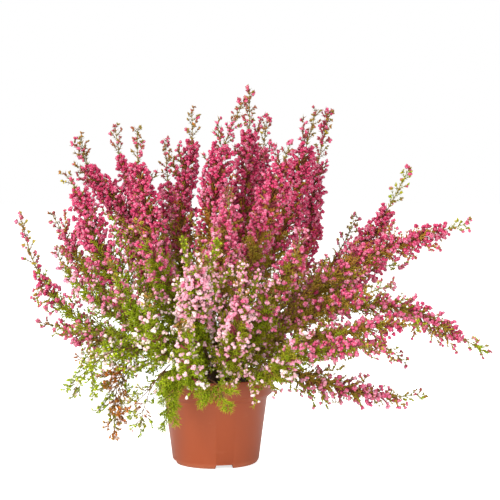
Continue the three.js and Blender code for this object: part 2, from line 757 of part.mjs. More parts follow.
// The soil: it fills the pot to below the rim, domed a little, with a plain hole for each stem
function soil(stems) {
  const inside = (radius) => (radius - WALL) * Math.cos(Math.PI / POT_SIDES) - GAP;
  const slope = (BODY_TOP_RADIUS - BODY_FOOT_RADIUS) / (BODY_TOP - FOOT_ROUND);
  const bottom = FLOOR + WALL + GAP;
  const profile = [
    [0, bottom],
    [inside(BODY_FOOT_RADIUS + slope * (bottom - FOOT_ROUND)), bottom],
    [inside(BODY_TOP_RADIUS), BODY_TOP + WALL],
    [inside(RIM_RADIUS), SOIL_SHOULDER],
    [inside(RIM_RADIUS), SOIL_EDGE],
    [SOIL_CROWN, SOIL_TOP],
    [0, SOIL_TOP],
  ];
  let body = solid(turned(profile, SOIL_SIDES));
  const holeRadius = (TRUNK_RADIUS + GAP) / Math.cos(Math.PI / HOLE_SIDES);
  for (const { root } of stems) {
    const depth = ROOT_DEPTH + GAP;
    const hole = prism(polygon(...root, holeRadius, HOLE_SIDES), SOIL_TOP - depth, depth + CUT_PAST);
    body = body.subtract(solid(hole));
  }
  return geometryOf(body);
}

// One stem: its trunk, with its other shoots and sprigs joined to it
function stemGeometry(stem, random) {
  const parts = stem.shoots.map((shoot, order) => solid(wood(shoot, order === 0, random)));
  return geometryOf(parts.reduce((whole, part) => whole.add(part)));
}

function matt(color, roughness) {
  return new THREE.MeshStandardMaterial({ color, roughness, metalness: 0 });
}

function named(name, geometry, material) {
  const mesh = new THREE.Mesh(geometry, material);
  mesh.name = name;
  return mesh;
}

const heath = new THREE.Group();
const stems = BUSH.map((stem) => ({ ...stem, shoots: stem.shoots.map((shoot) => ({
  ...shoot,
  stem: stem.name,
  branches: stem.shoots.length - 1,
  foot: vector(shoot.foot),
  head: vector(shoot.head),
  tip: vector(shoot.tip),
})) }));
bendClear(stems);
measureReach(stems);
const random = dice(DRAW_SEED);

heath.add(named('pot', pot(), matt(TERRACOTTA, PLASTIC_ROUGHNESS)));
heath.add(named('soil', soil(stems), matt(SOIL_BROWN, SOIL_ROUGHNESS)));
for (const stem of stems) {
  for (const shoot of stem.shoots) {
    const inPlume = woodRings(shoot, false).find((entry) => entry.inPlume);
    shoot.plumeTurn = inPlume ? inPlume.turn : 0;
  }
  const leafy = matt(SHOOT_GREEN, LEAF_ROUGHNESS);
  heath.add(named(`stem_${stem.name}`, stemGeometry(stem, random), leafy));
  stem.shoots.filter((shoot) => !shoot.sprig).forEach((shoot, order) => {
    const color = new THREE.Color(MAGENTA).lerp(new THREE.Color(PALE_PINK), shoot.tone);
    const flowers = matt(color, BELL_ROUGHNESS);
    heath.add(named(`plume_${stem.name}_${order + 1}`, plume(shoot, random), flowers));
  });
}

export default heath;
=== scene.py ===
"""The looks of a potted heath in flower: bark, needles, side twigs and small bell flowers on every
shoot, granular soil, and a moulded plastic pot. Lengths are in millimetres until a mesh is made."""
import json
import math
from collections import namedtuple

import bpy
import numpy as np
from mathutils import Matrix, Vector


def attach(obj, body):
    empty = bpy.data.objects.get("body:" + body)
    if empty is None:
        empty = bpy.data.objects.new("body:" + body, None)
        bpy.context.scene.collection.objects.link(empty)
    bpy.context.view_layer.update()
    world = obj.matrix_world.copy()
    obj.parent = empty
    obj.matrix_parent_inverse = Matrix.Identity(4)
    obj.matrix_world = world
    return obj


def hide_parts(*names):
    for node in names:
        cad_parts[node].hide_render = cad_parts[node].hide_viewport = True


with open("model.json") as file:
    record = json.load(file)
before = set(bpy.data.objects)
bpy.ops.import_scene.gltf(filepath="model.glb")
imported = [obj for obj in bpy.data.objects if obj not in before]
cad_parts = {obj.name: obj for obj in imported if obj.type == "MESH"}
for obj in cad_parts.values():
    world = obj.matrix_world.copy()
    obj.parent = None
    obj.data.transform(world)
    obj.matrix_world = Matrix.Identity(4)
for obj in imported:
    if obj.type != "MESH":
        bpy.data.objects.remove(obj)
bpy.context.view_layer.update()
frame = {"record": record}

MM = 0.001
rng = np.random.default_rng(4711)

# The camera: its place, how far it is turned down in degrees, and its focal length and the width of
# its square frame in pixels
CAMERA_PLACE, CAMERA_FALL, FOCAL, FRAME = (35.7, -1500, 313), 3.52, 1448, 500

# The pot, as in the solids
RIM_RADIUS, RIM_TOP, RIM_BOTTOM = 60, 90.6, 73.4
BODY_TOP, BODY_TOP_RADIUS, BODY_FOOT_RADIUS = 68, 53.6, 45
FOOT_RADIUS, FOOT_ROUND, WALL, FLOOR, PAD_RADIUS = 43, 3, 1.5, 4, 9
NOTCH_HEIGHT, NOTCH_HALF_TURN, NOTCH_AZIMUTH = 3.7, 11.8, -77
DRAIN_CIRCLE, DRAIN_RADIUS, DRAIN_SIDES = 30, 3.5, 32
# The taper of its rim and pad, the rounding of its edges, and in degrees how far apart its points
# stand and over what turn the end of a notch slopes
POT_TAPER, POT_EASE, POT_STEP, NOTCH_SLOPE = 0.4, 1.1, 4.0, 0.9

# The soil, as in the solids: its domed top, the depth of the roots, and its sides
SOIL_TOP, SOIL_EDGE, SOIL_CROWN, ROOT_DEPTH = 84, 79.5, 32, 16
SOIL_SIDE_RADII, SOIL_SIDE_HEIGHTS = (42.9, 51.2, 57.7), (5.9, 69.6, 76.3)
SOIL_RADIUS = SOIL_SIDE_RADII[-1]
# The rings of its top, how deep and how coarse its roughness is, from where that fades towards the
# edge and to what share, and the crumbs on it
SOIL_SIDES, SOIL_RINGS, SOIL_EYE, SOIL_SINK = 84, 22, 1.2, 0.6
ROUGHNESS, ROUGH_WAVES, ROUGH_LENGTHS, FADE_FROM, FADE_TO = 0.75, 60, (3.5, 16), 50, 0.3
CRUMBS, CRUMB_REACH, CRUMB_SIZES, CRUMB_GIRTHS, CRUMB_SIDES = 300, 56, (0.7, 2.2), (0.35, 0.75), 5

# How the shoots are led and bent clear of each other, as in the solids
TRUNK_RADIUS, SHOOT_RADIUS = 3.2, 1.25
FIRST_FORK, FORK_PITCH = 12, 9
BLOOM_BELOW_FOOT, ABOVE_PLUME, LEAFY_BELOW = 0.3, 2.5, 17
FOOT_FULLNESS, HEAD_FULLNESS = 0.13, 0.88
NEEDLE_REACH, BARE_GIRTH, CLEAR = 6, 2.2, 1.6
BEND_ROUNDS, BEND_STATIONS, BEND_SPEED, SIDE_STEP = 70, 30, 0.9, 1
BEND_WAYS = np.array([0.4, 1, 0.4])
UP = np.array([0, 0, 1.0])

# Wood: its thickness at the root and above the foot of a flowering and of a leafy shoot, as shares
# of a shoot's radius, its thickness at the end, the length of a step along it, and its sides
FLOWERING_WOOD, LEAFY_WOOD, WOOD_END, WOOD_STEP, WOOD_SIDES = (1.2, 0.85), (0.75, 0.5), 0.35, 5, 6
# Side twigs: the golden angle, by which each is turned from the last, how much a twig scatters, and
# how much its outer half bends along its shoot and upwards
GOLDEN, TWIG_SCATTER, TWIG_BEND, TWIG_RISE = 2.39996, 0.12, 0.35, 0.2
# Needles: how many make a whorl, and their width as a share of their usual length
WHORL, NEEDLE_WIDTH = 3, 0.24
# Leaves turn browner from a height on, over a height, by a hue, and no browner than a hue
BROWN_FROM, BROWN_OVER, BROWNER, BROWNEST = 190, 110, 0.3, 0.58

# Bells: their length, the share of them that are open, and their sides
BELL, OPEN_SHARE, BELL_SIDES = 3.75, 0.38, 5
# An open bell, that ends in its throat, and a closed one, that ends in a point: on each ring the
# radius and the height as shares of its length, and the place along the map
OPEN_BELL = np.array([0, 0.47, 0.31, 0]), np.array([0, 0.45, 1.0, 0.7]), np.array([0.02, 0.45, 0.85, 0.98])
CLOSED_BELL = np.array([0, 0.46, 0]), np.array([0, 0.52, 1.0]), np.array([0.06, 0.5, 0.78])
# How much bells point outwards, along their twig and down, and how much they scatter
BELL_WAYS, BELL_SCATTER = (0.5, 0.25, 0.25), 0.66
# The map: where round a shape it starts, how far it spreads round a bell, a twig or needle, a crumb
# and a shoot's wood, and where across it that wood lies
MAP_START, BELL_SPREAD, TWIG_SPREAD, CRUMB_SPREAD = 0.3, 0.006, 0.008, 0.01
WOOD_SPREAD, WOOD_ACROSS = 0.28, 0.3

# Plumes: the surface to each twig, in square millimetres, where none is in flower and where all are,
# how readily the twigs flower at the foot and at the head, and from what share of the height on they
# do so as they do at the head
TWIG_AREAS, FLOWERING, FULL_FROM = (100, 62), (0.25, 1.05), 0.75
# How lumpy they are, and how far inside their surface the twigs end that hold bells and that don't
LUMP, LUMP_LENGTH, LUMP_TWIST, INSIDE_FLOWER, INSIDE_LEAF, LEAST_RADIUS = 0.14, 6.1, 9, 3.2, 2, 3
# Their tones: how much paler the foot is than the head, at what share of the height the tone is the
# shoot's own, and the palest, before scatter
FADE, FADE_AT, PALEST = 0.25, 0.55, 0.86
# Twigs that hold bells: the share with dusky leaves and their hues, darker leaves that fill the
# plume's inside partly as painted shade, above what share of twigs in flower a bunch has one bell
# more, and below what tone there are more bells inside, a little darker as painted shade
DUSKY_SHARE, DUSKY_HUES, DENSE_FROM, INNER_BELLS_BELOW = 0.65, (0.97, 0.9), 0.85, 0.4

# Each stem: where it stands in the soil, and its shoots as foot, head, tip, girth and tone. A shoot
# with no girth is a leafy sprig. Tone runs from magenta, 0, to pale pink, 1.
BUSH = {
    "left": ((-24, -5), [
        ((-149, -10, 154), (-184, -15, 203), (-200, -15, 255), 12.5, 0.15),
        ((-115, -50, 170), (-150, -70, 210), (-155, -75, 225), 11.2, 0.5),
        ((-115, -30, 215), (-140, -40, 285), (-150, -40, 300), 17.5, 0.1),
        ((-75, -15, 120), (-98, -18, 90), (-105, -20, 40), 0, 0),
    ]),
    "left_back": ((-22, 10), [
        ((-88, 15, 253), (-133, 15, 309), (-141, 15, 337), 17.5, 0.05),
        ((-130, 50, 180), (-170, 70, 240), (-180, 75, 255), 13.8, 0.15),
        ((-120, 30, 120), (-175, 40, 135), (-190, 45, 140), 13.8, 0.3),
        ((-90, 12, 125), (-120, 20, 120), (-140, 30, 105), 0, 0),
    ]),
    "left_front": ((-15, -19), [
        ((-44, -66, 176), (-68, -96, 236), (-76, -100, 254), 17.5, 0.35),
        ((-65, -60, 155), (-95, -90, 200), (-100, -100, 215), 13.8, 0.5),
        ((-35, -80, 130), (-60, -120, 175), (-65, -135, 185), 13.8, 0.8),
        ((-80, -40, 125), (-115, -55, 115), (-140, -60, 85), 0, 0),
        ((-42, -42, 110), (-62, -58, 88), (-75, -70, 50), 0, 0),
    ]),
    "front": ((-2, -24), [
        ((-10, -80, 140), (-10, -140, 210), (-10, -150, 225), 18.8, 0.7),
        ((-15, -90, 105), (-25, -130, 150), (-30, -145, 160), 15, 0.9),
        ((-27, -54, 110), (-38, -78, 96), (-45, -92, 65), 0, 0),
        ((-8, -58, 104), (0, -84, 98), (12, -98, 74), 0, 0),
    ]),
    "right_front": ((13, -20), [
        ((15, -75, 125), (25, -125, 185), (25, -140, 200), 17.5, 0.65),
        ((40, -60, 130), (55, -100, 180), (60, -110, 195), 16.2, 0.5),
        ((50, -85, 115), (85, -125, 145), (90, -135, 150), 15, 0.6),
        ((90, -75, 130), (142, -105, 136), (160, -113, 130), 13.8, 0.3),
    ]),
    "right_low": ((22, -10), [
        ((160, -30, 210), (235, -45, 245), (255, -45, 250), 16.2, 0.12),
        ((105, -45, 155), (155, -65, 185), (175, -70, 190), 16.2, 0.25),
        ((130, -60, 150), (190, -85, 155), (205, -90, 150), 15, 0.2),
        ((106, -35, 88), (186, -48, 75), (210, -52, 79), 16.2, 0.35),
    ]),
    "right": ((24, 3), [
        ((135, 0, 200), (180, 0, 265), (200, 0, 305), 15, 0.05),
        ((185, -10, 165), (255, -15, 130), (280, -15, 115), 16.2, 0.2),
        ((130, 20, 120), (180, 25, 115), (200, 25, 100), 13.8, 0.15),
        ((120, 40, 170), (180, 55, 200), (200, 60, 200), 16.2, 0.2),
    ]),
    "right_back": ((18, 15), [
        ((97, 45, 210), (109, 65, 310), (122, 75, 365), 15, 0),
        ((40, 70, 255), (50, 95, 325), (55, 105, 360), 16.2, 0),
        ((105, 70, 170), (135, 95, 215), (155, 110, 250), 12.5, 0.2),
    ]),
    "inner_left": ((-9, -3), [
        ((-65, -5, 235), (-80, -10, 310), (-80, -10, 345), 17.5, 0.08),
        ((-85, 50, 265), (-105, 65, 320), (-110, 70, 350), 11.2, 0.08),
    ]),
    "inner_right": ((8, -6), [
        ((70, 5, 245), (95, 15, 330), (105, 15, 365), 20, 0.05),
        ((50, -45, 245), (70, -60, 315), (75, -65, 330), 18.8, 0.12),
        ((60, -55, 175), (80, -85, 230), (85, -95, 245), 17.5, 0.3),
        ((10, -65, 215), (15, -90, 270), (15, -95, 285), 18.8, 0.3),
    ]),
    "middle": ((0, 8), [
        ((30, 30, 270), (35, 35, 345), (35, 40, 388), 17.5, 0),
        ((-5, -10, 255), (10, -20, 330), (30, -25, 375), 20, 0.1),
        ((-35, 15, 265), (-25, 20, 335), (-25, 20, 365), 15, 0.05),
    ]),
    "back_left": ((-11, 21), [
        ((-76, 86, 178), (-103, 124, 242), (-110, 134, 264), 17.5, 0.15),
        ((-85, 95, 130), (-125, 130, 165), (-135, 140, 175), 16.2, 0.35),
        ((-30, 100, 125), (-40, 150, 160), (-45, 160, 170), 17.5, 0.55),
        ((-42, 75, 220), (-55, 100, 290), (-58, 108, 335), 17.5, 0.1),
    ]),
    "back_right": ((5, 25), [
        ((25, 95, 180), (35, 135, 235), (35, 145, 255), 17.5, 0.2),
        ((30, 100, 115), (50, 150, 145), (55, 160, 150), 16.2, 0.6),
        ((80, 105, 140), (110, 145, 185), (120, 155, 195), 16.2, 0.35),
    ]),
}

# The hues of leaves and buds: bright yellow-green at 0 by olive at 0.3 and brown at 0.6 to orange-brown
# at 0.72, and for tips dull olive at 0.8, red-brown at 0.88 and dusky red at 0.97
RUSTY_TIPS, DULL_TIPS, GREEN_TIPS = (0.8, 0.88, 0.97), (0.8, 0.8, 0.4, 0.97), (0.3, 0.2, 0.8, 0.97)
# The looks of a stem: the hue of its leaves and those of its tips' buds, the tone of its lowest
# bells, the share of its low twigs that hold some, and how far apart its low side shoots stand
Look = namedtuple("Look", "leaf tips low_tone low_share pitch")
LOOKS = {
    "left": Look(0.18, DULL_TIPS, 0.93, 0.2, 5.7),
    "left_back": Look(0.26, RUSTY_TIPS, 0.85, 0.25, 7),
    "left_front": Look(0.14, DULL_TIPS, 0.95, 0.13, 5.3),
    "front": Look(0.12, DULL_TIPS, 0.95, 0.16, 5.4),
    "right_front": Look(0.26, DULL_TIPS, 0.78, 0.34, 6.4),
    "right_low": Look(0.46, GREEN_TIPS, 0.4, 0.42, 7),
    "right": Look(0.44, GREEN_TIPS, 0.35, 0.42, 8),
    "right_back": Look(0.5, DULL_TIPS, 0.45, 0.2, 9),
    "inner_left": Look(0.3, RUSTY_TIPS, 0.6, 0.2, 7.5),
    "inner_right": Look(0.4, RUSTY_TIPS, 0.6, 0.25, 8),
    "middle": Look(0.46, RUSTY_TIPS, 0.6, 0.2, 7),
    "back_left": Look(0.3, RUSTY_TIPS, 0.8, 0.2, 9.5),
    "back_right": Look(0.36, RUSTY_TIPS, 0.8, 0.2, 9.5),
}
# The share of the twigs near the head of each plume that are in flower
FLOWERS = {
    "left": (0.4, 0.5, 0.97), "left_back": (0.97, 0.65, 0.6), "left_front": (0.5, 0.22, 0.24),
    "front": (0.86, 0.4), "right_front": (0.7, 0.4, 0.4, 0.6), "right_low": (0.75, 0.45, 0.5, 0.65),
    "right": (0.92, 0.66, 0.5, 0.55), "right_back": (0.97, 0.95, 0.55), "inner_left": (0.97, 0.9),
    "inner_right": (0.97, 0.9, 0.5, 0.55), "middle": (0.97, 0.92, 0.9), "back_left": (0.7, 0.6, 0.6, 0.9),
    "back_right": (0.7, 0.6, 0.6),
}


def leafy(hue, share, tone=0.9, **more):
    """The looks of a leafy side shoot: the hue of its leaves, the share of its twigs that hold bells,
    and their tone."""
    return dict(hue=hue, share=share, tone=tone, **more)


def tufted(hue, **more):
    """The looks of a hanging sprig: short twigs with fine needles that end in a bud."""
    return dict(dict(size=4.4, twig=8.5, first=0.25, gap=2.6, tufts=1, width=0.17, pitch=1.35, core=0.3,
                     share=0.06, hue=hue), **more)


def feathery(hue):
    """The looks of a feathery sprig: long fine needles and no bells."""
    return dict(size=6.4, twig=10, gap=2.4, width=0.15, pitch=1.6, core=0.4, share=0, hue=hue)


def pale(tone):
    """The looks of a pale spray in full flower."""
    return dict(hue=0.24, share=1, gap=3, twig=8.5, tone=tone)


# The leafy sprigs: from where each is clothed, how far its side shoots reach at either end, and looks
SPRIGS = {
    ("left", 3): (48, (19, 17), tufted((0.72, 0.68, 0.3))),
    ("left_back", 3): (26, (21, 11), tufted((0.06, 0.12, 0.2, 0.7), share=0.2)),
    ("left_front", 3): (24, (24, 11), tufted((0.03, 0.08, 0.12, 0.16), share=0.2)),
    ("left_front", 4): (76, (10, 12), tufted((0.08, 0.3, 0.7))),
    ("front", 2): (12, (22, 16), feathery((0.02, 0.08, 0.16))),
    ("front", 3): (50, (10, 3), feathery(0.0)),
}
SPRIG_PITCH = 3.8
# More side shoots, over the rim or in open spaces, for each shoot that they stand on: the length
# along it, the points that each bends towards and ends at, and looks
SPRAYS = {
    ("left", 0): [
        (72, (-89, -20, 117), (-101, -22, 111), leafy(0.08, 0.4, 0.92)),
        (90, (-107, -20, 121), (-120, -22, 117), leafy(0.08, 0.4, 0.88)),
    ],
    ("left", 1): [
        (60, (-84, -48, 166), (-88, -62, 200), leafy(0.1, 0.5, 0.8)),
        (30, (-44, -18, 136), (-60, -26, 152), leafy(0.1, 0.2)),
    ],
    ("left", 2): [
        (105, (-93, -40, 221), (-102, -45, 254), leafy(0.25, 0.7, 0.35)),
        (95, (-83, -42, 213), (-91, -48, 240), leafy(0.2, 0.6, 0.45)),
        (85, (-66, -50, 188), (-80, -55, 208), leafy(0.15, 0.5, 0.6)),
        (70, (-64, -40, 190), (-62, -50, 226), leafy(0.12, 0.5, 0.6)),
    ],
    ("left", 3): [
        (40, (-84, -28, 126), (-110, -38, 128), leafy(0.08, 0.4, 0.9)),
        (55, (-84, -28, 118), (-108, -36, 108), leafy(0.1, 0.3, 0.9)),
        (62, (-80, -24, 106), (-92, -28, 86), tufted(0.06)),
        (66, (-100, -24, 104), (-120, -28, 92), tufted(0.72)),
        (92, (-92, -24, 78), (-80, -30, 64), tufted(0.12)),
        (88, (-108, -24, 72), (-119, -28, 56), tufted(0.1)),
        (58, (-76, -20, 116), (-80, -34, 98), tufted(0.08)),
        (70, (-94, -22, 102), (-108, -36, 86), tufted(0.7)),
        (74, (-108, -24, 96), (-134, -28, 88), tufted(0.05)),
        (80, (-108, -24, 86), (-126, -30, 72), tufted(0.3)),
        (84, (-94, -24, 82), (-80, -32, 76), tufted(0.1)),
        (96, (-98, -24, 66), (-84, -28, 52), tufted(0.08)),
        (100, (-100, -24, 60), (-96, -28, 46), tufted(0.7)),
    ],
    ("left_back", 0): [
        (105, (-76, -10, 227), (-99, -15, 254), leafy(0.3, 0.8, 0.35)),
    ],
    ("left_back", 2): [
        (75, (-106, 20, 112), (-120, 10, 103), leafy(0.08, 0.4, 0.92)),
        (60, (-93, 10, 109), (-101, 5, 96), leafy(0.1, 0.3, 0.92)),
    ],
    ("left_back", 3): [
        (50, (-74, 0, 120), (-96, -14, 106), leafy(0.08, 0.3, 0.92)),
        (60, (-96, -5, 111), (-108, -10, 106), leafy(0.06, 0.3, 0.92)),
    ],
    ("left_front", 0): [
        (60, (-48, -50, 156), (-62, -62, 180), leafy(0.08, 0.4, 0.85)),
        (45, (-39, -45, 162), (-54, -55, 181), leafy(0.1, 0.4, 0.85)),
        (35, (-49, -50, 160), (-68, -60, 170), leafy(0.06, 0.4, 0.88)),
        (18, (-26, -34, 122), (-42, -40, 138), leafy(0.1, 0.1)),
    ],
    ("left_front", 1): [
        (34, (-36, -58, 112), (-44, -80, 92), leafy(0.1, 0.2, 0.9)),
        (30, (-54, -48, 128), (-72, -66, 146), leafy(0.06, 0.4, 0.9)),
    ],
    ("left_front", 2): [
        (40, (-62, -44, 116), (-84, -56, 100), leafy(0.08, 0.3, 0.92)),
        (30, (-44, -60, 145), (-60, -70, 150), leafy(0.08, 0.4, 0.88)),
    ],
    ("left_front", 3): [
        (36, (-64, -46, 128), (-82, -60, 136), leafy(0.06, 0.4, 0.92)),
        (58, (-84, -50, 113), (-93, -52, 103), leafy(0.05, 0.3, 0.92)),
        (42, (-67, -42, 113), (-76, -45, 103), leafy(0.06, 0.3, 0.92)),
        (120, (-138, -60, 96), (-150, -62, 84), tufted(0.06)),
    ],
    ("left_front", 4): [
        (50, (-64, -62, 84), (-84, -66, 74), tufted(0.3, first=0.6)),
        (60, (-76, -62, 66), (-98, -64, 62), tufted(0.7, first=0.6)),
    ],
    ("front", 0): [
        (85, (-3, -110, 166), (2, -112, 188), leafy(0.25, 0.9, 0.62)),
        (60, (0, -70, 146), (-3, -80, 164), leafy(0.25, 0.8, 0.7)),
        (20, (-14, -44, 112), (-24, -62, 128), leafy(0.12, 0.1)),
    ],
    ("front", 1): [
        (26, (-14, -60, 106), (-16, -84, 94), leafy(0.15, 0.15, 0.9)),
        (40, (-27, -86, 114), (-22, -97, 83), leafy(0.04, 0.35, 0.95, size=4.2)),
        (15, (-16, -46, 104), (-30, -60, 112), leafy(0.1, 0.1)),
    ],
    ("front", 2): [
        (20, (-30, -66, 104), (-46, -82, 90), feathery(0.04)),
        (30, (-36, -70, 96), (-53, -84, 80), feathery(0.08)),
        (34, (-38, -80, 92), (-40, -92, 66), feathery(0.04)),
    ],
    ("front", 3): [
        (50, (-3, -92, 89), (-14, -92, 88), feathery(0.0)),
        (56, (-4, -94, 86), (-13, -94, 80), feathery(0.0)),
    ],
    ("right_front", 0): [
        (15, (18, -60, 108), (22, -84, 94), leafy(0.25, 0.7, 0.78)),
        (8, (12, -55, 108), (8, -82, 96), leafy(0.2, 0.5, 0.85)),
        (40, (12, -60, 130), (8, -72, 158), leafy(0.25, 0.7, 0.75)),
        (28, (4, -50, 116), (-4, -74, 128), leafy(0.25, 0.6, 0.8)),
        (90, (12, -100, 149), (7, -105, 174), leafy(0.25, 0.9, 0.62)),
        (20, (18, -40, 116), (30, -52, 132), leafy(0.2, 0.2, 0.8)),
    ],
    ("right_front", 1): [
        (40, (38, -84, 112), (41, -98, 76), leafy(0.3, 0.9, 0.82)),
        (30, (22, -66, 106), (18, -88, 93), leafy(0.3, 0.6, 0.85)),
        (12, (31, -55, 112), (36, -82, 99), leafy(0.3, 0.7, 0.65)),
        (22, (38, -40, 124), (58, -50, 134), leafy(0.35, 0.4, 0.6)),
        (16, (34, -38, 112), (50, -56, 122), leafy(0.25, 0.3, 0.7)),
    ],
    ("right_front", 2): [
        (42, (56, -76, 108), (62, -84, 84), leafy(0.35, 0.7, 0.6)),
        (30, (34, -60, 108), (44, -82, 94), leafy(0.3, 0.6, 0.7)),
    ],
    ("right_front", 3): [
        (25, (38, -44, 112), (50, -64, 108), leafy(0.3, 0.4, 0.7)),
    ],
    ("right_low", 1): [
        (45, (56, -34, 140), (76, -48, 150), leafy(0.35, 0.5, 0.5)),
    ],
    ("right_low", 2): [
        (30, (52, -40, 128), (70, -70, 116), leafy(0.35, 0.6, 0.55)),
    ],
    ("right_low", 3): [
        (30, (50, -36, 118), (66, -66, 96), leafy(0.35, 0.6, 0.6)),
        (45, (66, -52, 104), (80, -58, 84), leafy(0.35, 0.6, 0.55)),
        (20, (40, -30, 108), (56, -50, 104), leafy(0.25, 0.3, 0.7)),
    ],
    ("right", 2): [
        (30, (52, -14, 124), (78, -30, 108), leafy(0.4, 0.5, 0.5)),
    ],
    ("inner_left", 0): [
        (70, (-40, -26, 180), (-50, -34, 214), leafy(0.2, 0.6, 0.5)),
        (50, (-26, -22, 160), (-36, -36, 186), leafy(0.2, 0.5, 0.7)),
        (30, (-26, -22, 152), (-44, -30, 172), leafy(0.2, 0.4, 0.8)),
        (20, (-24, -10, 132), (-44, -16, 142), leafy(0.12, 0.1)),
        (30, (-36, -10, 140), (-52, -20, 152), leafy(0.12, 0.1)),
        (14, (-18, -12, 118), (-36, -24, 128), leafy(0.12, 0.1)),
    ],
    ("inner_right", 1): [
        (50, (44, -20, 183), (48, -25, 205), leafy(0.35, 0.5, 0.5)),
    ],
    ("inner_right", 2): [
        (40, (50, -40, 150), (64, -54, 176), leafy(0.35, 0.6, 0.5)),
    ],
    ("inner_right", 3): [
        (30, (14, -42, 140), (14, -60, 176), leafy(0.3, 0.6, 0.7)),
        (20, (4, -36, 126), (-2, -58, 150), leafy(0.25, 0.6, 0.8)),
        (105, (-4, -70, 212), (-10, -72, 228), leafy(0.35, 0.8, 0.35)),
        (8, (7, -20, 137), (17, -30, 166), leafy(0.25, 0.4, 0.75)),
    ],
    ("middle", 1): [
        (42, (0, -5, 175), (-3, -10, 195), leafy(0.35, 0.4, 0.6)),
    ],
    ("middle", 2): [
        (75, (-17, 0, 201), (-16, -10, 221), leafy(0.35, 0.7, 0.3)),
    ],
}
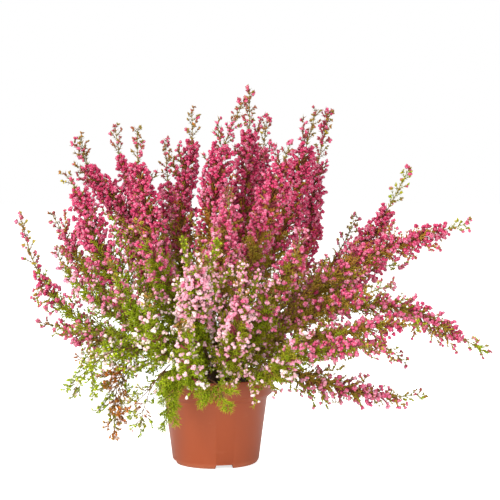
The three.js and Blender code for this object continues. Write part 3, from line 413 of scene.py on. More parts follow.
# Side shoots placed one by one: the same, but each point is given as what the camera sees it at, in
# pixels across and down its frame, and its depth in millimetres behind the pot's axis
SIGHTED_SPRAYS = {
    ("left", 0): [
        (182, (41, 290, -16), (35, 302, -20), leafy(0.4, 1, 0.2)),
        (172, (47, 300, -16), (44, 308, -22), leafy(0.4, 1, 0.25)),
        (155, (56, 310, -14), (48, 312, -18), leafy(0.3, 1, 0.25)),
        (142, (70, 304, -14), (74, 292, -18), leafy(0.3, 0.9, 0.3)),
        (186, (40, 286, -16), (36, 294, -20), leafy(0.5, 1, 0.2)),
    ],
    ("left", 1): [
        (162, (67, 272, -60), (66, 259, -62), leafy(0.5, 0.8, 0.3)),
    ],
    ("left", 2): [
        (128, (114, 256, -36), (115, 238, -38), leafy(0.3, 0.9, 0.3)),
    ],
    ("left", 3): [
        (20, (154, 362, -14), (146, 376, -18), leafy(0.16, 0.1)),
        (84, (104, 382, -24), (92, 388, -28), tufted(0.08)),
        (104, (104, 406, -22), (94, 412, -26), tufted(0.12)),
        (66, (116, 380, -26), (104, 384, -32), tufted(0.72)),
        (82, (122, 392, -26), (124, 400, -30), tufted(0.7)),
        (94, (116, 400, -26), (110, 410, -30), tufted(0.72)),
        (60, (120, 372, -26), (106, 374, -34), tufted(0.7)),
    ],
    ("left_back", 0): [
        (252, (82, 158, 10), (74, 141, 8), leafy(0.8, 0.5, 0.15)),
        (238, (84, 176, 8), (75, 164, 4), leafy(0.8, 0.6, 0.15)),
        (226, (90, 184, 8), (78, 176, 2), leafy(0.88, 0.8, 0.15)),
        (150, (128, 244, 10), (112, 228, 5), leafy(0.4, 0.8, 0.25)),
        (168, (122, 224, 12), (103, 211, 6), leafy(0.5, 0.9, 0.2)),
    ],
    ("left_back", 1): [
        (205, (64, 230, 62), (66, 215, 60), leafy(0.6, 0.8, 0.15)),
        (195, (74, 240, 62), (80, 228, 60), leafy(0.5, 0.7, 0.2)),
    ],
    ("left_back", 3): [
        (25, (158, 356, 0), (152, 374, -6), leafy(0.2, 0.1)),
        (105, (92, 362, 14), (92, 378, 8), tufted(0.3)),
    ],
    ("left_front", 0): [
        (60, (176, 328, -34), (167, 317, -36), leafy(0.14, 0.1)),
    ],
    ("left_front", 3): [
        (40, (152, 358, -34), (140, 370, -38), leafy(0.12, 0.1)),
        (118, (92, 382, -60), (92, 396, -62), tufted(0.1)),
    ],
    ("left_front", 4): [
        (20, (164, 362, -36), (150, 370, -40), leafy(0.16, 0.1)),
        (35, (158, 378, -46), (146, 388, -50), leafy(0.2, 0.1)),
        (82, (138, 410, -66), (129, 416, -68), tufted(0.2, first=0.5)),
        (92, (146, 417, -68), (151, 423, -70), tufted(0.1, first=0.5)),
        (40, (158, 384, -52), (152, 398, -56), tufted(0.14)),
        (66, (146, 394, -62), (136, 386, -64), tufted(0.3, first=0.5)),
    ],
    ("front", 0): [
        (20, (214, 360, -34), (212, 350, -38), leafy(0.12, 0.1)),
        (118, (190, 285, -114), (186, 263, -120), pale(0.72)),
        (140, (188, 272, -124), (184, 250, -128), pale(0.66)),
        (112, (205, 290, -112), (212, 270, -118), pale(0.74)),
        (135, (212, 272, -124), (217, 251, -128), pale(0.66)),
        (125, (222, 285, -114), (230, 268, -118), pale(0.7)),
        (100, (183, 300, -110), (177, 282, -114), pale(0.78)),
        (92, (196, 308, -112), (190, 296, -116), pale(0.82)),
        (100, (208, 304, -114), (208, 288, -118), pale(0.78)),
        (152, (185, 250, -130), (184, 240, -132), tufted(0.2)),
        (152, (217, 252, -130), (218, 242, -132), tufted(0.16)),
    ],
    ("front", 3): [
        (56, (213, 394, -92), (203, 403, -96), feathery(0.0)),
        (60, (227, 392, -94), (234, 391, -97), feathery(0.0)),
    ],
    ("right_front", 0): [
        (100, (240, 284, -122), (243, 264, -126), pale(0.66)),
        (90, (252, 294, -112), (258, 276, -114), pale(0.62)),
    ],
    ("right_front", 1): [
        (105, (261, 298, -92), (257, 287, -94), leafy(0.3, 0.6, 0.5)),
        (112, (258, 296, -94), (254, 284, -92), leafy(0.35, 0.5, 0.5)),
    ],
    ("right_front", 2): [
        (45, (258, 368, -70), (262, 358, -72), leafy(0.25, 0.2, 0.7)),
    ],
    ("right_low", 0): [
        (212, (402, 254, -34), (415, 256, -38), leafy(0.6, 1, 0.12)),
        (238, (426, 247, -42), (439, 247, -44), leafy(0.6, 1, 0.12)),
        (20, (246, 356, -14), (256, 366, -20), leafy(0.25, 0.1)),
    ],
    ("right_low", 2): [
        (160, (384, 335, -84), (382, 347, -86), leafy(0.5, 1, 0.15)),
        (135, (366, 344, -76), (375, 359, -80), leafy(0.4, 0.9, 0.15)),
        (150, (382, 344, -80), (394, 359, -84), leafy(0.4, 0.8, 0.15)),
    ],
    ("right_low", 3): [
        (128, (362, 386, -44), (367, 376, -44), leafy(0.4, 0.9, 0.3)),
        (58, (297, 382, -32), (301, 394, -34), leafy(0.3, 0.6, 0.45)),
        (72, (309, 390, -38), (315, 403, -40), leafy(0.3, 0.6, 0.4)),
        (88, (322, 394, -42), (327, 405, -44), leafy(0.3, 0.7, 0.4)),
        (152, (396, 402, -50), (406, 406, -52), leafy(0.5, 1, 0.3)),
        (10, (258, 362, -20), (262, 372, -26), leafy(0.25, 0.2, 0.7)),
        (66, (306, 386, -36), (309, 397, -38), leafy(0.4, 0.7, 0.4)),
    ],
    ("right", 0): [
        (200, (380, 234, 4), (390, 225, 2), leafy(0.6, 1, 0.05)),
    ],
    ("right", 1): [
        (160, (398, 300, -12), (414, 299, -14), leafy(0.3, 0.6, 0.2)),
        (200, (416, 324, -16), (414, 336, -18), leafy(0.5, 0.9, 0.2)),
        (212, (430, 332, -16), (442, 343, -18), leafy(0.5, 1, 0.15)),
        (228, (446, 340, -16), (456, 349, -18), leafy(0.5, 0.9, 0.15)),
        (256, (477, 346, -15), (487, 352, -15), leafy(0.2, 0.3, 0.2)),
        (220, (438, 330, -18), (446, 338, -22), leafy(0.5, 1, 0.15)),
    ],
    ("right_back", 0): [
        (268, (323, 132, 70), (325, 114, 72), leafy(0.88, 0.5, 0.1)),
        (235, (322, 174, 60), (326, 163, 58), leafy(0.88, 1, 0.05)),
    ],
    ("inner_left", 0): [
        (210, (150, 184, -15), (157, 173, -14), leafy(0.88, 0.8, 0.1)),
        (60, (182, 326, -10), (172, 322, -12), leafy(0.14, 0.1)),
    ],
    ("inner_right", 0): [
        (250, (302, 142, 12), (303, 118, 10), leafy(0.88, 0.7, 0.1)),
        (90, (256, 296, 0), (262, 284, -4), leafy(0.4, 0.2, 0.5)),
    ],
    ("inner_right", 1): [
        (225, (277, 158, -60), (272, 146, -62), leafy(0.88, 1, 0.12)),
        (55, (246, 310, -20), (258, 296, -26), leafy(0.4, 0.4, 0.5)),
    ],
    ("inner_right", 2): [
        (60, (262, 318, -26), (276, 300, -34), leafy(0.4, 0.5, 0.4)),
        (90, (278, 290, -40), (287, 268, -46), leafy(0.45, 0.8, 0.3)),
        (100, (284, 276, -50), (286, 256, -52), leafy(0.45, 0.8, 0.25)),
    ],
    ("middle", 0): [
        (252, (256, 134, 35), (263, 116, 36), leafy(0.88, 1, 0.05)),
        (225, (262, 160, 30), (272, 146, 28), leafy(0.88, 1, 0.05)),
        (235, (240, 158, 28), (234, 150, 26), leafy(0.88, 1, 0.05)),
        (40, (222, 346, 4), (212, 358, -6), leafy(0.2, 0)),
    ],
    ("middle", 1): [
        (230, (218, 140, -22), (218, 121, -22), leafy(0.88, 1, 0.1)),
        (240, (230, 136, -26), (231, 123, -26), leafy(0.88, 1, 0.1)),
        (200, (210, 170, -20), (205, 158, -22), leafy(0.88, 1, 0.1)),
        (60, (206, 300, -4), (198, 284, -8), leafy(0.4, 0.4, 0.5)),
    ],
    ("middle", 2): [
        (200, (180, 164, 10), (178, 146, 8), leafy(0.88, 1, 0.08)),
        (185, (176, 176, 5), (172, 158, 2), leafy(0.88, 1, 0.08)),
    ],
}

# The floor's disc, how far it lies below the pot, and how brightly the camera sees it and the plain
# white all round, beside the share of that which lights the plant
STAGE_RADIUS, STAGE_DROP, STAGE_SIDES, STAGE_GLOW, AIR_LIGHT = 9000, 0.3, 96, 0.72, 0.62
# The lamps: where each stands, what it faces and its width, in metres, and its power in watts
LAMPS = {
    "key": ((-1.5, -1.5, 1.3), (0, 0, 0.18), 1.1, 48),
    "fill": ((0.9, -2.0, 0.7), (0, 0, 0.18), 1.2, 18),
    "front": ((-0.5, -2.3, 0.5), (0, 0, 0.22), 1.2, 14),
    "top": ((0.1, 0.9, 1.9), (0, 0, 0.2), 1.2, 22),
}


def unit(v):
    """Vectors made one long."""
    return v / np.linalg.norm(v, axis=-1, keepdims=True)


def mix(a, b, share):
    """From a at share 0 to b at share 1, in a straight line."""
    return a + (b - a) * share


def around(count):
    """Angles spaced evenly over a full turn."""
    return 2 * np.pi * np.arange(count) / count


def on_map(share):
    """Places across or along the map, kept off its edges."""
    return np.clip(share, 0.02, 0.98)


def in_depth(column, row, depth):
    """The place that the camera sees at a pixel of its frame, to a whole millimetre: where the line of
    sight meets the upright plane at a depth. Across, the camera is taken to look level."""
    x, y, z = CAMERA_PLACE
    away = depth - y
    fall = math.radians(CAMERA_FALL) + math.atan((row - FRAME / 2) / FOCAL)
    return round(x + (column - FRAME / 2) * away / FOCAL), depth, round(z - away * math.tan(fall))


class Route:
    """A smooth curve through points, with knots at the lengths of its chords: a cubic between each
    two points, that leaves the first along start and passes the others along the mean of the chords
    beside them."""

    def __init__(self, points, start):
        self.points = np.array(points, float)
        chords = np.diff(self.points, axis=0)
        self.spans = np.linalg.norm(chords, axis=1)
        self.knots = np.concatenate([[0], np.cumsum(self.spans)])
        chords = chords / self.spans[:, None]
        before, after = self.spans[:-1, None], self.spans[1:, None]
        middle = (chords[:-1] * after + chords[1:] * before) / (before + after)
        self.slopes = np.concatenate([[unit(np.array(start, float))], middle, chords[-1:]])
        self.length = self.knots[-1]
        self.side = unit(np.cross(UP, self.points[-1] - self.points[0]))

    def _piece(self, s):
        i = np.searchsorted(self.knots[1:-1], s, side="left")
        h = self.spans[i][..., None]
        u = (np.asarray(s, float) - self.knots[i])[..., None] / h
        return self.points[i], self.slopes[i], self.points[i + 1], self.slopes[i + 1], h, u

    def at(self, s):
        """Places at lengths s."""
        p, m, q, n, h, u = self._piece(s)
        return (p * (2 * u**3 - 3 * u**2 + 1) + m * ((u**3 - 2 * u**2 + u) * h)
                + q * (3 * u**2 - 2 * u**3) + n * ((u**3 - u**2) * h))

    def tangent(self, s):
        """Directions of growth at lengths s."""
        p, m, q, n, h, u = self._piece(s)
        return unit(p * ((6 * u**2 - 6 * u) / h) + m * (3 * u**2 - 4 * u + 1)
                    + q * ((6 * u - 6 * u**2) / h) + n * (3 * u**2 - 2 * u))

    def outward(self, s, angle):
        """Directions square to the curve at lengths s, at angles round it."""
        along = self.tangent(s)
        right = unit(self.side - (along @ self.side)[..., None] * along)
        ahead = np.cross(along, right)
        return right * np.cos(angle)[..., None] + ahead * np.sin(angle)[..., None]


class Shoot:
    """One shoot of a stem, with its route once it is led."""

    def __init__(self, stem, order, root, foot, head, tip, girth, tone):
        self.stem, self.order, self.root = stem, order, root
        self.points = np.array([foot, head, tip], float)
        self.girth, self.tone = girth, tone

    def bloom(self):
        """The lengths between which the shoot is in flower."""
        foot, head = self.route.knots[1:3]
        return (foot * (1 - BLOOM_BELOW_FOOT), head) if self.girth else (foot, foot)


def lead(shoots):
    """Gives each shoot its route, from its root or from its fork on the first shoot of its stem."""
    for shoot in shoots:
        if shoot.order == 0:
            trunk = shoot.route = Route([(*shoot.root, SOIL_TOP), *shoot.points], UP)
        else:
            fork = FIRST_FORK + FORK_PITCH * (shoot.order - 1)
            start = trunk.at(fork)
            way = unit(shoot.points[0] - start) + trunk.tangent(fork)
            shoot.route = Route([start, *shoot.points], way)


def stations(shoot):
    """Places spaced evenly along a shoot, the radius it takes up there, whether it is in flower, and
    how much each place follows the shoot's foot, head and tip."""
    _, b, c, d = shoot.route.knots
    s = np.linspace(0, d, BEND_STATIONS)
    start, end = shoot.bloom()
    flower = (s >= start) & (s <= end + ABOVE_PLUME) & (end > start)
    leaf = np.where(s >= start - LEAFY_BELOW, NEEDLE_REACH, BARE_GIRTH)
    share = [np.interp(s, [0, b, c], [0, 1, 0]), np.interp(s, [b, c, d], [0, 1, 0]),
             np.interp(s, [c, d], [0, 1])]
    return shoot.route.at(s), np.where(flower, shoot.girth, leaf), flower, np.stack(share, 1)


def bend_clear(shoots):
    """Bends shoots that would cross away from each other, mostly in depth. Each pair of stations that
    is nearer than the sum of their radii pushes its two shoots apart by half of what is missing."""
    owner = np.repeat(np.arange(len(shoots)), BEND_STATIONS)
    stem = np.unique([shoot.stem for shoot in shoots], return_inverse=True)[1][owner]
    later = owner[:, None] < owner[None]
    kin = stem[:, None] == stem[None]
    for _ in range(BEND_ROUNDS):
        lead(shoots)
        place, girth, flower, share = map(np.concatenate, zip(*map(stations, shoots)))
        way = place[None] - place[:, None]
        apart = np.sqrt(np.einsum("pqi,pqi->pq", way, way))
        need = girth[:, None] + girth[None] + CLEAR
        may_touch = kin & ~flower[:, None] & ~flower[None]
        p, q = np.nonzero(later & (apart < need) & ~may_touch)
        step = way[p, q]
        step[:, 1] += np.where(step[:, 1] < 0, -SIDE_STEP, SIDE_STEP)
        step = unit(step * BEND_WAYS) * ((need - apart)[p, q] / 2)[:, None]
        moved, weight = np.zeros((len(shoots), 3, 3)), np.zeros((len(shoots), 3))
        for end, sign in ((p, -1), (q, 1)):
            np.add.at(moved, owner[end], sign * share[end][:, :, None] * step[:, None])
            np.add.at(weight, owner[end], share[end])
        pull = np.where(weight > 0, BEND_SPEED / np.maximum(weight, 1e-9), 0)
        for shoot, steps in zip(shoots, moved * pull[:, :, None]):
            shoot.points += steps
    lead(shoots)


def fullness(share):
    """How full a plume is at a share of its height: the root of a sine that starts above nought."""
    return np.sqrt(np.sin(np.pi * mix(FOOT_FULLNESS, HEAD_FULLNESS, share)))


def across(along):
    """Two directions square to each direction given, and to each other."""
    guide = np.where(np.abs(along[..., 2:]) < 0.8, UP, np.array([1.0, 0, 0]))
    right = unit(np.cross(guide, along))
    return right, np.cross(along, right)


def beside(along, angle):
    """Directions square to those given, at angles round them."""
    right, ahead = across(along)
    return right * np.cos(angle)[:, None] + ahead * np.sin(angle)[:, None]


def lean(along, out, angle):
    """Directions that lean from along towards out by an angle."""
    return along * np.cos(angle)[..., None] + out * np.sin(angle)[..., None]


def put(name, data):
    """A new object in the scene."""
    made = bpy.data.objects.new(name, data)
    bpy.context.scene.collection.objects.link(made)
    return made


def shell_faces(sides, rings):
    """The faces of a closed shape whose points are an end point, rings of points and another end
    point: four-sided between the rings, and a fan of triangles at either end."""
    i = np.arange(sides)
    j = (i + 1) % sides
    ring = 1 + sides * np.arange(rings - 1)[:, None]
    quads = np.stack([ring + i, ring + j, ring + sides + j, ring + sides + i], -1).reshape(-1, 4)
    last = 1 + sides * (rings - 1)
    foot = np.stack([0 * i, 1 + j, 1 + i], -1)
    tip = np.stack([last + i, last + j, 0 * i + last + sides], -1)
    return [quads, np.concatenate([foot, tip])]


class Skin:
    """Gathers many closed shapes, each a stack of rings between two end points, for one mesh."""

    def __init__(self):
        self.points, self.faces, self.marks, self.count = [], [], [], 0

    def turned(self, path, radii, sides, marks, along=None):
        """Adds shapes turned about paths, all at once. Ring k of a shape is path k + radius k (right
        cos a + ahead sin a), and its first and last path points close it. path is shapes x rings x 3,
        radii is shapes x rings or rings, and marks gives each shape's map place across and along:
        across is its own number plus a little round it, and along is given for each ring."""
        n, k, _ = path.shape
        if n == 0:
            return
        radii = np.broadcast_to(radii, (n, k))
        if along is None:
            along = unit(np.gradient(path, axis=1))
            right = np.empty_like(along)
            right[:, 0] = across(along[:, 0])[0]
            for j in range(1, k):
                last = right[:, j - 1]
                right[:, j] = unit(last - np.sum(last * along[:, j], 1)[:, None] * along[:, j])
            ahead = np.cross(along, right)
        else:
            right, ahead = (np.broadcast_to(way[:, None], (n, k, 3)) for way in across(along))
        turn = around(sides)
        ways = right[:, :, None] * np.cos(turn)[:, None] + ahead[:, :, None] * np.sin(turn)[:, None]
        rings = path[:, 1:-1, None] + radii[:, 1:-1, None, None] * ways[:, 1:-1]
        points = np.concatenate([path[:, :1], rings.reshape(n, -1, 3), path[:, -1:]], 1)
        number, spread, height = marks
        height = np.broadcast_to(height, (n, k))
        u = number[:, None, None] + spread * np.broadcast_to(np.cos(turn + MAP_START), (n, k - 2, sides))
        u = np.concatenate([number[:, None], u.reshape(n, -1), number[:, None]], 1)
        v = np.repeat(height[:, 1:-1], sides, axis=1)
        v = np.concatenate([height[:, :1], v, height[:, -1:]], 1)
        self.add(points, shell_faces(sides, k - 2), np.stack([u, v], -1))

    def add(self, points, faces, marks):
        """Adds copies x points x 3, with the same faces for each copy, and their places on the map."""
        n, k, _ = points.shape
        step = self.count + k * np.arange(n)[:, None, None]
        self.points.append(points.reshape(-1, 3))
        self.marks.append(marks.reshape(-1, 2))
        self.faces += [(face[None] + step).reshape(-1, face.shape[1]) for face in faces if len(face)]
        self.count += n * k

    def data(self, name, map_name=None):
        """The gathered shapes as smooth mesh data in metres, with their map if it is named."""
        data = bpy.data.meshes.new(name)
        points = np.concatenate(self.points) * MM
        data.vertices.add(len(points))
        data.vertices.foreach_set("co", points.ravel())
        corners = np.concatenate([face.ravel() for face in self.faces]).astype(np.int32)
        sizes = np.concatenate([np.full(len(face), face.shape[1]) for face in self.faces])
        data.loops.add(len(corners))
        data.loops.foreach_set("vertex_index", corners)
        data.polygons.add(len(sizes))
        data.polygons.foreach_set("loop_start", np.concatenate([[0], np.cumsum(sizes)[:-1]]))
        data.polygons.foreach_set("use_smooth", np.ones(len(sizes), bool))
        if map_name:
            layer = data.uv_layers.new(name=map_name)
            layer.data.foreach_set("uv", np.concatenate(self.marks)[corners].ravel())
        data.update(calc_edges=True)
        return data

    def mesh(self, name, material, slot, map_name="OFBake", stands_for=()):
        """Makes the piece, which rides on the root."""
        data = self.data(name, map_name)
        data.materials.append(material)
        made = put(name, data)
        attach(made, "root")
        if stands_for:
            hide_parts(*stands_for)
        return made


def curved(start, middle, end, t):
    """Points of curves from start to end that bend towards middle: (1-t)^2 start + 2t(1-t) middle +
    t^2 end, for t alike for all curves or given for each."""
    t = np.broadcast_to(t, (len(start), np.shape(t)[-1]))[..., None]
    return start[:, None] * (1 - t)**2 + middle[:, None] * (2 * t * (1 - t)) + end[:, None] * t**2


def heading(start, middle, end, t):
    """The directions of those curves at t."""
    t = np.broadcast_to(t, (len(start), np.shape(t)[-1]))[..., None]
    return unit((middle - start)[:, None] * (1 - t) + (end - middle)[:, None] * t)


# Many twigs: the start, middle, end, length and outward way of each
Twigs = namedtuple("Twigs", "start middle end length out")


def pick(twigs, some):
    """Some of the twigs."""
    return Twigs(*(part[some] for part in twigs))


def spot(twigs, t):
    """The place at t along each of the twigs, and its direction there."""
    return curved(*twigs[:3], t[:, None])[:, 0], heading(*twigs[:3], t[:, None])[:, 0]


def ranked(counts):
    """For what stands on twigs in these counts: the twig of each, and its rank there."""
    twig = np.repeat(np.arange(len(counts)), counts)
    return twig, np.arange(len(twig)) - np.repeat(np.cumsum(counts) - counts, counts)


def side_twigs(place, along, out, reach, lift):
    """Twigs that leave places at an angle of lift from along towards out, and bend up a little."""
    way = unit(lean(along, out, lift) + rng.normal(0, TWIG_SCATTER, place.shape))
    middle = place + way * (0.5 * reach)[:, None]
    end = middle + unit(way + TWIG_BEND * along + TWIG_RISE * UP) * (0.5 * reach)[:, None]
    return Twigs(place, middle, end, reach, out)


def twigs_on_shoot(shoot, low, high, pitch, reach, lift=0.7):
    """Side twigs along a stretch of a shoot, turned by the golden angle from one to the next. Their
    reach is given for the stretch's low and high end."""
    count = max(2, round((high - low) / pitch))
    s = np.linspace(low, high, count) + rng.uniform(-0.4, 0.4, count) * pitch
    s = np.clip(s, 2, shoot.route.length - 1)
    angle = np.arange(count) * GOLDEN + rng.normal(0, 0.3, count)
    length = np.interp(s, (low, high), reach) * rng.uniform(0.65, 1.15, count)
    route = shoot.route
    return side_twigs(route.at(s), route.tangent(s), route.outward(s, angle), length, lift)


def twigs_on_twigs(twigs, pitch, reach, first=0.2, lift=0.7):
    """Side twigs of twigs, shorter towards each twig's end, and which twig each stands on."""
    counts = np.maximum(2, np.round(twigs.length * (1 - first) / pitch)).astype(int)
    twig, rank = ranked(counts)
    t = first + (1 - first) * (rank + rng.uniform(0.3, 0.9, len(twig))) / counts[twig]
    place, along = spot(pick(twigs, twig), t)
    out = beside(along, rank * GOLDEN + twig)
    length = reach * rng.uniform(0.7, 1.15, len(twig)) * (1 - 0.4 * t)
    return side_twigs(place, along, out, length, lift), twig


def add_twigs(skin, twigs, thick, number, marks):
    """Adds side twigs: three-sided tubes along curves, that taper to a point."""
    path = curved(*twigs[:3], np.array([0, 0.12, 0.6, 1]))
    radii = thick * rng.uniform(0.8, 1.2, (len(path), 1)) * np.array([0, 1, 0.8, 0])
    skin.turned(path, radii, 3, (on_map(number), TWIG_SPREAD, np.array(marks)))


def add_bells(skin, place, axis, size, tone, share):
    """Adds bells: each is a small urn turned about its axis, whose foot is drawn out to the twig that
    it hangs from. A share of them are open, with a hollow throat, and the others still closed."""
    opened = rng.random(len(place)) < share
    tone = on_map(tone)
    for some, (radii, heights, on_length) in ((opened, OPEN_BELL), (~opened, CLOSED_BELL)):
        path = place[some, None] + axis[some, None] * (size[some, None] * heights)[..., None]
        marks = tone[some], BELL_SPREAD, on_length
        skin.turned(path, size[some, None] * radii, BELL_SIDES, marks, along=axis[some])


def hang_bells(skin, twigs, many, size, tone, first=0.86, last=1.0, opened=OPEN_SHARE):
    """Hangs bells on twigs: many to each, between first and last along it. They spread every way but
    back along the twig, and a little more of them face down."""
    twig = np.repeat(np.arange(len(twigs.start)), many)
    place, ahead = spot(pick(twigs, twig), rng.uniform(first, last, len(twig)))
    out, on, down = BELL_WAYS
    axis = unit(twigs.out[twig] * out + ahead * on - UP * down + rng.normal(0, BELL_SCATTER, place.shape))
    add_bells(skin, place, axis, size * rng.uniform(0.78, 1.18, len(twig)),
              tone[twig] + rng.normal(0, 0.05, len(twig)), opened)


def add_buds(skin, place, way, length, hue):
    """Adds closed buds: four-sided spindles, widest below the middle."""
    path = place[:, None] + way[:, None] * (length[:, None] * np.array([-0.1, 0.4, 1]))[..., None]
    # Along the map, the foot of each bud takes the leaf paint's painted shade
    marks = on_map(hue), TWIG_SPREAD, np.array([0.25, 0.65, 0.95])
    skin.turned(path, length[:, None] * np.array([0, 0.3, 0]), 4, marks, along=way)


def add_tufts(leaves, twigs, many, size, hue):
    """Adds a tuft of closed buds at the end of each twig."""
    twig = np.repeat(np.arange(len(twigs.start)), many)
    place, _ = spot(pick(twigs, twig), rng.uniform(0.7, 1, len(twig)))
    way = unit(twigs.out[twig] * 0.45 + UP * 0.3 + rng.normal(0, 0.6, place.shape))
    add_buds(leaves, place, way, size * rng.uniform(0.8, 1.15, len(twig)),
             hue[twig] + rng.normal(0, 0.03, len(twig)))


def add_needles(skin, place, way, length, width, hue):
    """Adds needles: each is a triangle across its way, drawn out to a point at its length."""
    right, ahead = across(way)
    turn = around(3)
    ring = place[:, None] + width / 2 * (
        right[:, None] * np.cos(turn)[:, None] + ahead[:, None] * np.sin(turn)[:, None])
    tip = place + way * length[:, None]
    number = on_map(hue)[:, None]
    u = np.concatenate([number + TWIG_SPREAD * np.cos(turn + MAP_START), number], 1)
    # Along the map, the foot of each needle takes the leaf paint's painted shade and its tip none
    v = np.broadcast_to([0.1, 0.1, 0.1, 0.95], u.shape)
    faces = np.array([(0, 1, 3), (1, 2, 3), (2, 0, 3), (0, 2, 1)])
    skin.add(np.concatenate([ring, tip[:, None]], 1), [faces], np.stack([u, v], -1))


def needle_places(length, pitch, first=0.12):
    """Which twig each of its needles stands on, how far along it, and at what angle round it: three
    to a whorl, each whorl turned by a sixth of a turn from the last, with a little scatter."""
    counts = WHORL * np.maximum(1, np.round(length * (1 - first) / pitch)).astype(int)
    twig, rank = ranked(counts)
    t = first + (1 - first) * (rank // WHORL + 0.5) / (counts[twig] / WHORL)
    angle = rank * 2 * np.pi / WHORL + (rank // WHORL) * np.pi / WHORL + rng.normal(0, 0.25, len(twig))
    return twig, np.clip(t, 0, 1), angle


def needles_on_twigs(skin, twigs, pitch, size, hue, lift=0.9, width=NEEDLE_WIDTH):
    """Clothes twigs with needles that stand off them at an angle of lift, less steeply at the tip."""
    if len(twigs.start) == 0:
        return
    twig, t, angle = needle_places(twigs.length, pitch)
    place, along = spot(pick(twigs, twig), t)
    out = beside(along, angle)
    rise = lift * (1 - 0.45 * t**3) * rng.uniform(0.8, 1.2, len(t))
    length = size * rng.uniform(0.8, 1.15, len(t)) * (1 - 0.3 * t**3)
    add_needles(skin, place, unit(lean(along, out, rise)), length, width * size,
                hue[twig] + rng.normal(0, 0.035, len(t)))


def clothe(leaves, twigs, pitch, size, hue, core=0.8, width=NEEDLE_WIDTH):
    """Clothes twigs in leaf: a soft core of needles that lie close to the twig, and others that stand
    off it."""
    if len(twigs.start):
        # The core runs along the map from painted shade at its foot to paler at its end
        add_twigs(leaves, twigs, core, hue, (0.2, 0.35, 0.55, 0.8))
        needles_on_twigs(leaves, twigs, pitch, size, hue, width=width)


def needles_on_wood(skin, shoot, low, high, pitch, size, hue):
    """Clothes a stretch of a shoot's own wood with whorls of four needles."""
    count = max(1, round((high - low) / pitch))
    s = np.repeat(np.linspace(low, high, count), 4)
    angle = np.arange(len(s)) * np.pi / 2 + np.repeat(np.arange(count), 4) * np.pi / 4
    out = shoot.route.outward(s, angle + rng.normal(0, 0.2, len(s)))
    way = unit(lean(shoot.route.tangent(s), out, rng.uniform(0.6, 1.0, len(s))))
    add_needles(skin, shoot.route.at(s), way, size * rng.uniform(0.85, 1.15, len(s)),
                NEEDLE_WIDTH * size, hue + rng.normal(0, 0.05, len(s)))


def wood_radius(shoot, s):
    """The radius of a shoot's wood at lengths s, a little slimmer than its solid: thinning to the foot
    as the root of the length does, and then evenly."""
    _, foot, _, end = shoot.route.knots
    at_root, above_foot = FLOWERING_WOOD if shoot.girth else LEAFY_WOOD
    thick = TRUNK_RADIUS if shoot.order == 0 else SHOOT_RADIUS * at_root
    thin = SHOOT_RADIUS * above_foot
    low = mix(thick, thin, np.sqrt(np.clip(s / foot, 0, 1)))
    high = mix(thin, WOOD_END, np.clip((s - foot) / (end - foot), 0, 1))
    return np.where(s < foot, low, high)


def add_wood(skin, shoot):
    """Adds a shoot's wood: a tube along its route, knotty by a few parts in a hundred, that starts in
    the soil or in its trunk and ends in a point."""
    s = np.linspace(0, shoot.route.length, max(8, round(shoot.route.length / WOOD_STEP)))
    path = shoot.route.at(s)
    radii = wood_radius(shoot, s) * rng.uniform(0.9, 1.12, len(s))
    if shoot.order == 0:
        path = np.concatenate([[path[0] - UP * ROOT_DEPTH], [path[0] - UP * (ROOT_DEPTH - 1)], path])
        radii = np.concatenate([radii[:1], radii[:1], radii])
        s = np.concatenate([[0, 0], s])
    age = on_map(s / shoot.route.length)
    marks = np.array([WOOD_ACROSS]), WOOD_SPREAD, age[None]
    skin.turned(path[None], radii[None], WOOD_SIDES, marks)


def leaf_hue(stem, places):
    """The hue of a stem's leaves at places: browner the higher they stand."""
    high = np.clip((places[:, 2] - BROWN_FROM) / BROWN_OVER, 0, 1)
    return np.minimum(LOOKS[stem].leaf + BROWNER * high, BROWNEST) + rng.normal(0, 0.06, len(places))


def plume_twigs(shoot, full):
    """The side twigs of a plume, which of them are in flower, and at what share of its height each
    ends. They leave the wood at a steep angle and end just inside the plume's surface, spread evenly
    over it by the golden angle. The surface is lumpy: its radius is that of the plume times
    1 + lump sin(s / length) cos(2 angle + s / twist)."""
    low, high = shoot.bloom()
    grid = np.linspace(0, 1, 60)
    area = np.cumsum(shoot.girth * fullness(grid)) / len(grid) * 2 * np.pi * (high - low)
    count = int(area[-1] / mix(*TWIG_AREAS, full))
    share = np.interp((np.arange(count) + rng.uniform(0.2, 0.8, count)) / count * area[-1], area, grid)
    s = mix(low, high, share)
    angle = np.arange(count) * GOLDEN + rng.normal(0, 0.35, count)
    rise = np.clip(share / FULL_FROM, 0, 1)
    in_flower = rng.random(count) < full * mix(*FLOWERING, rise**2 * (3 - 2 * rise))
    lump = 1 + LUMP * np.sin(s / LUMP_LENGTH + 3 * shoot.tone) * np.cos(2 * angle + s / LUMP_TWIST)
    radius = shoot.girth * fullness(share) * lump * rng.uniform(0.72, 1.12, count)
    radius = np.maximum(radius - np.where(in_flower, INSIDE_FLOWER, INSIDE_LEAF), LEAST_RADIUS)
    out, along = shoot.route.outward(s, angle), shoot.route.tangent(s)
    start = shoot.route.at(np.clip(s - radius * rng.uniform(0.7, 1.2, count), 1, None))
    middle = start + out * (0.3 * radius)[:, None] + along * (0.55 * radius)[:, None]
    end = shoot.route.at(s) + out * radius[:, None]
    return Twigs(start, middle, end, np.linalg.norm(end - start, axis=1), out), in_flower, share


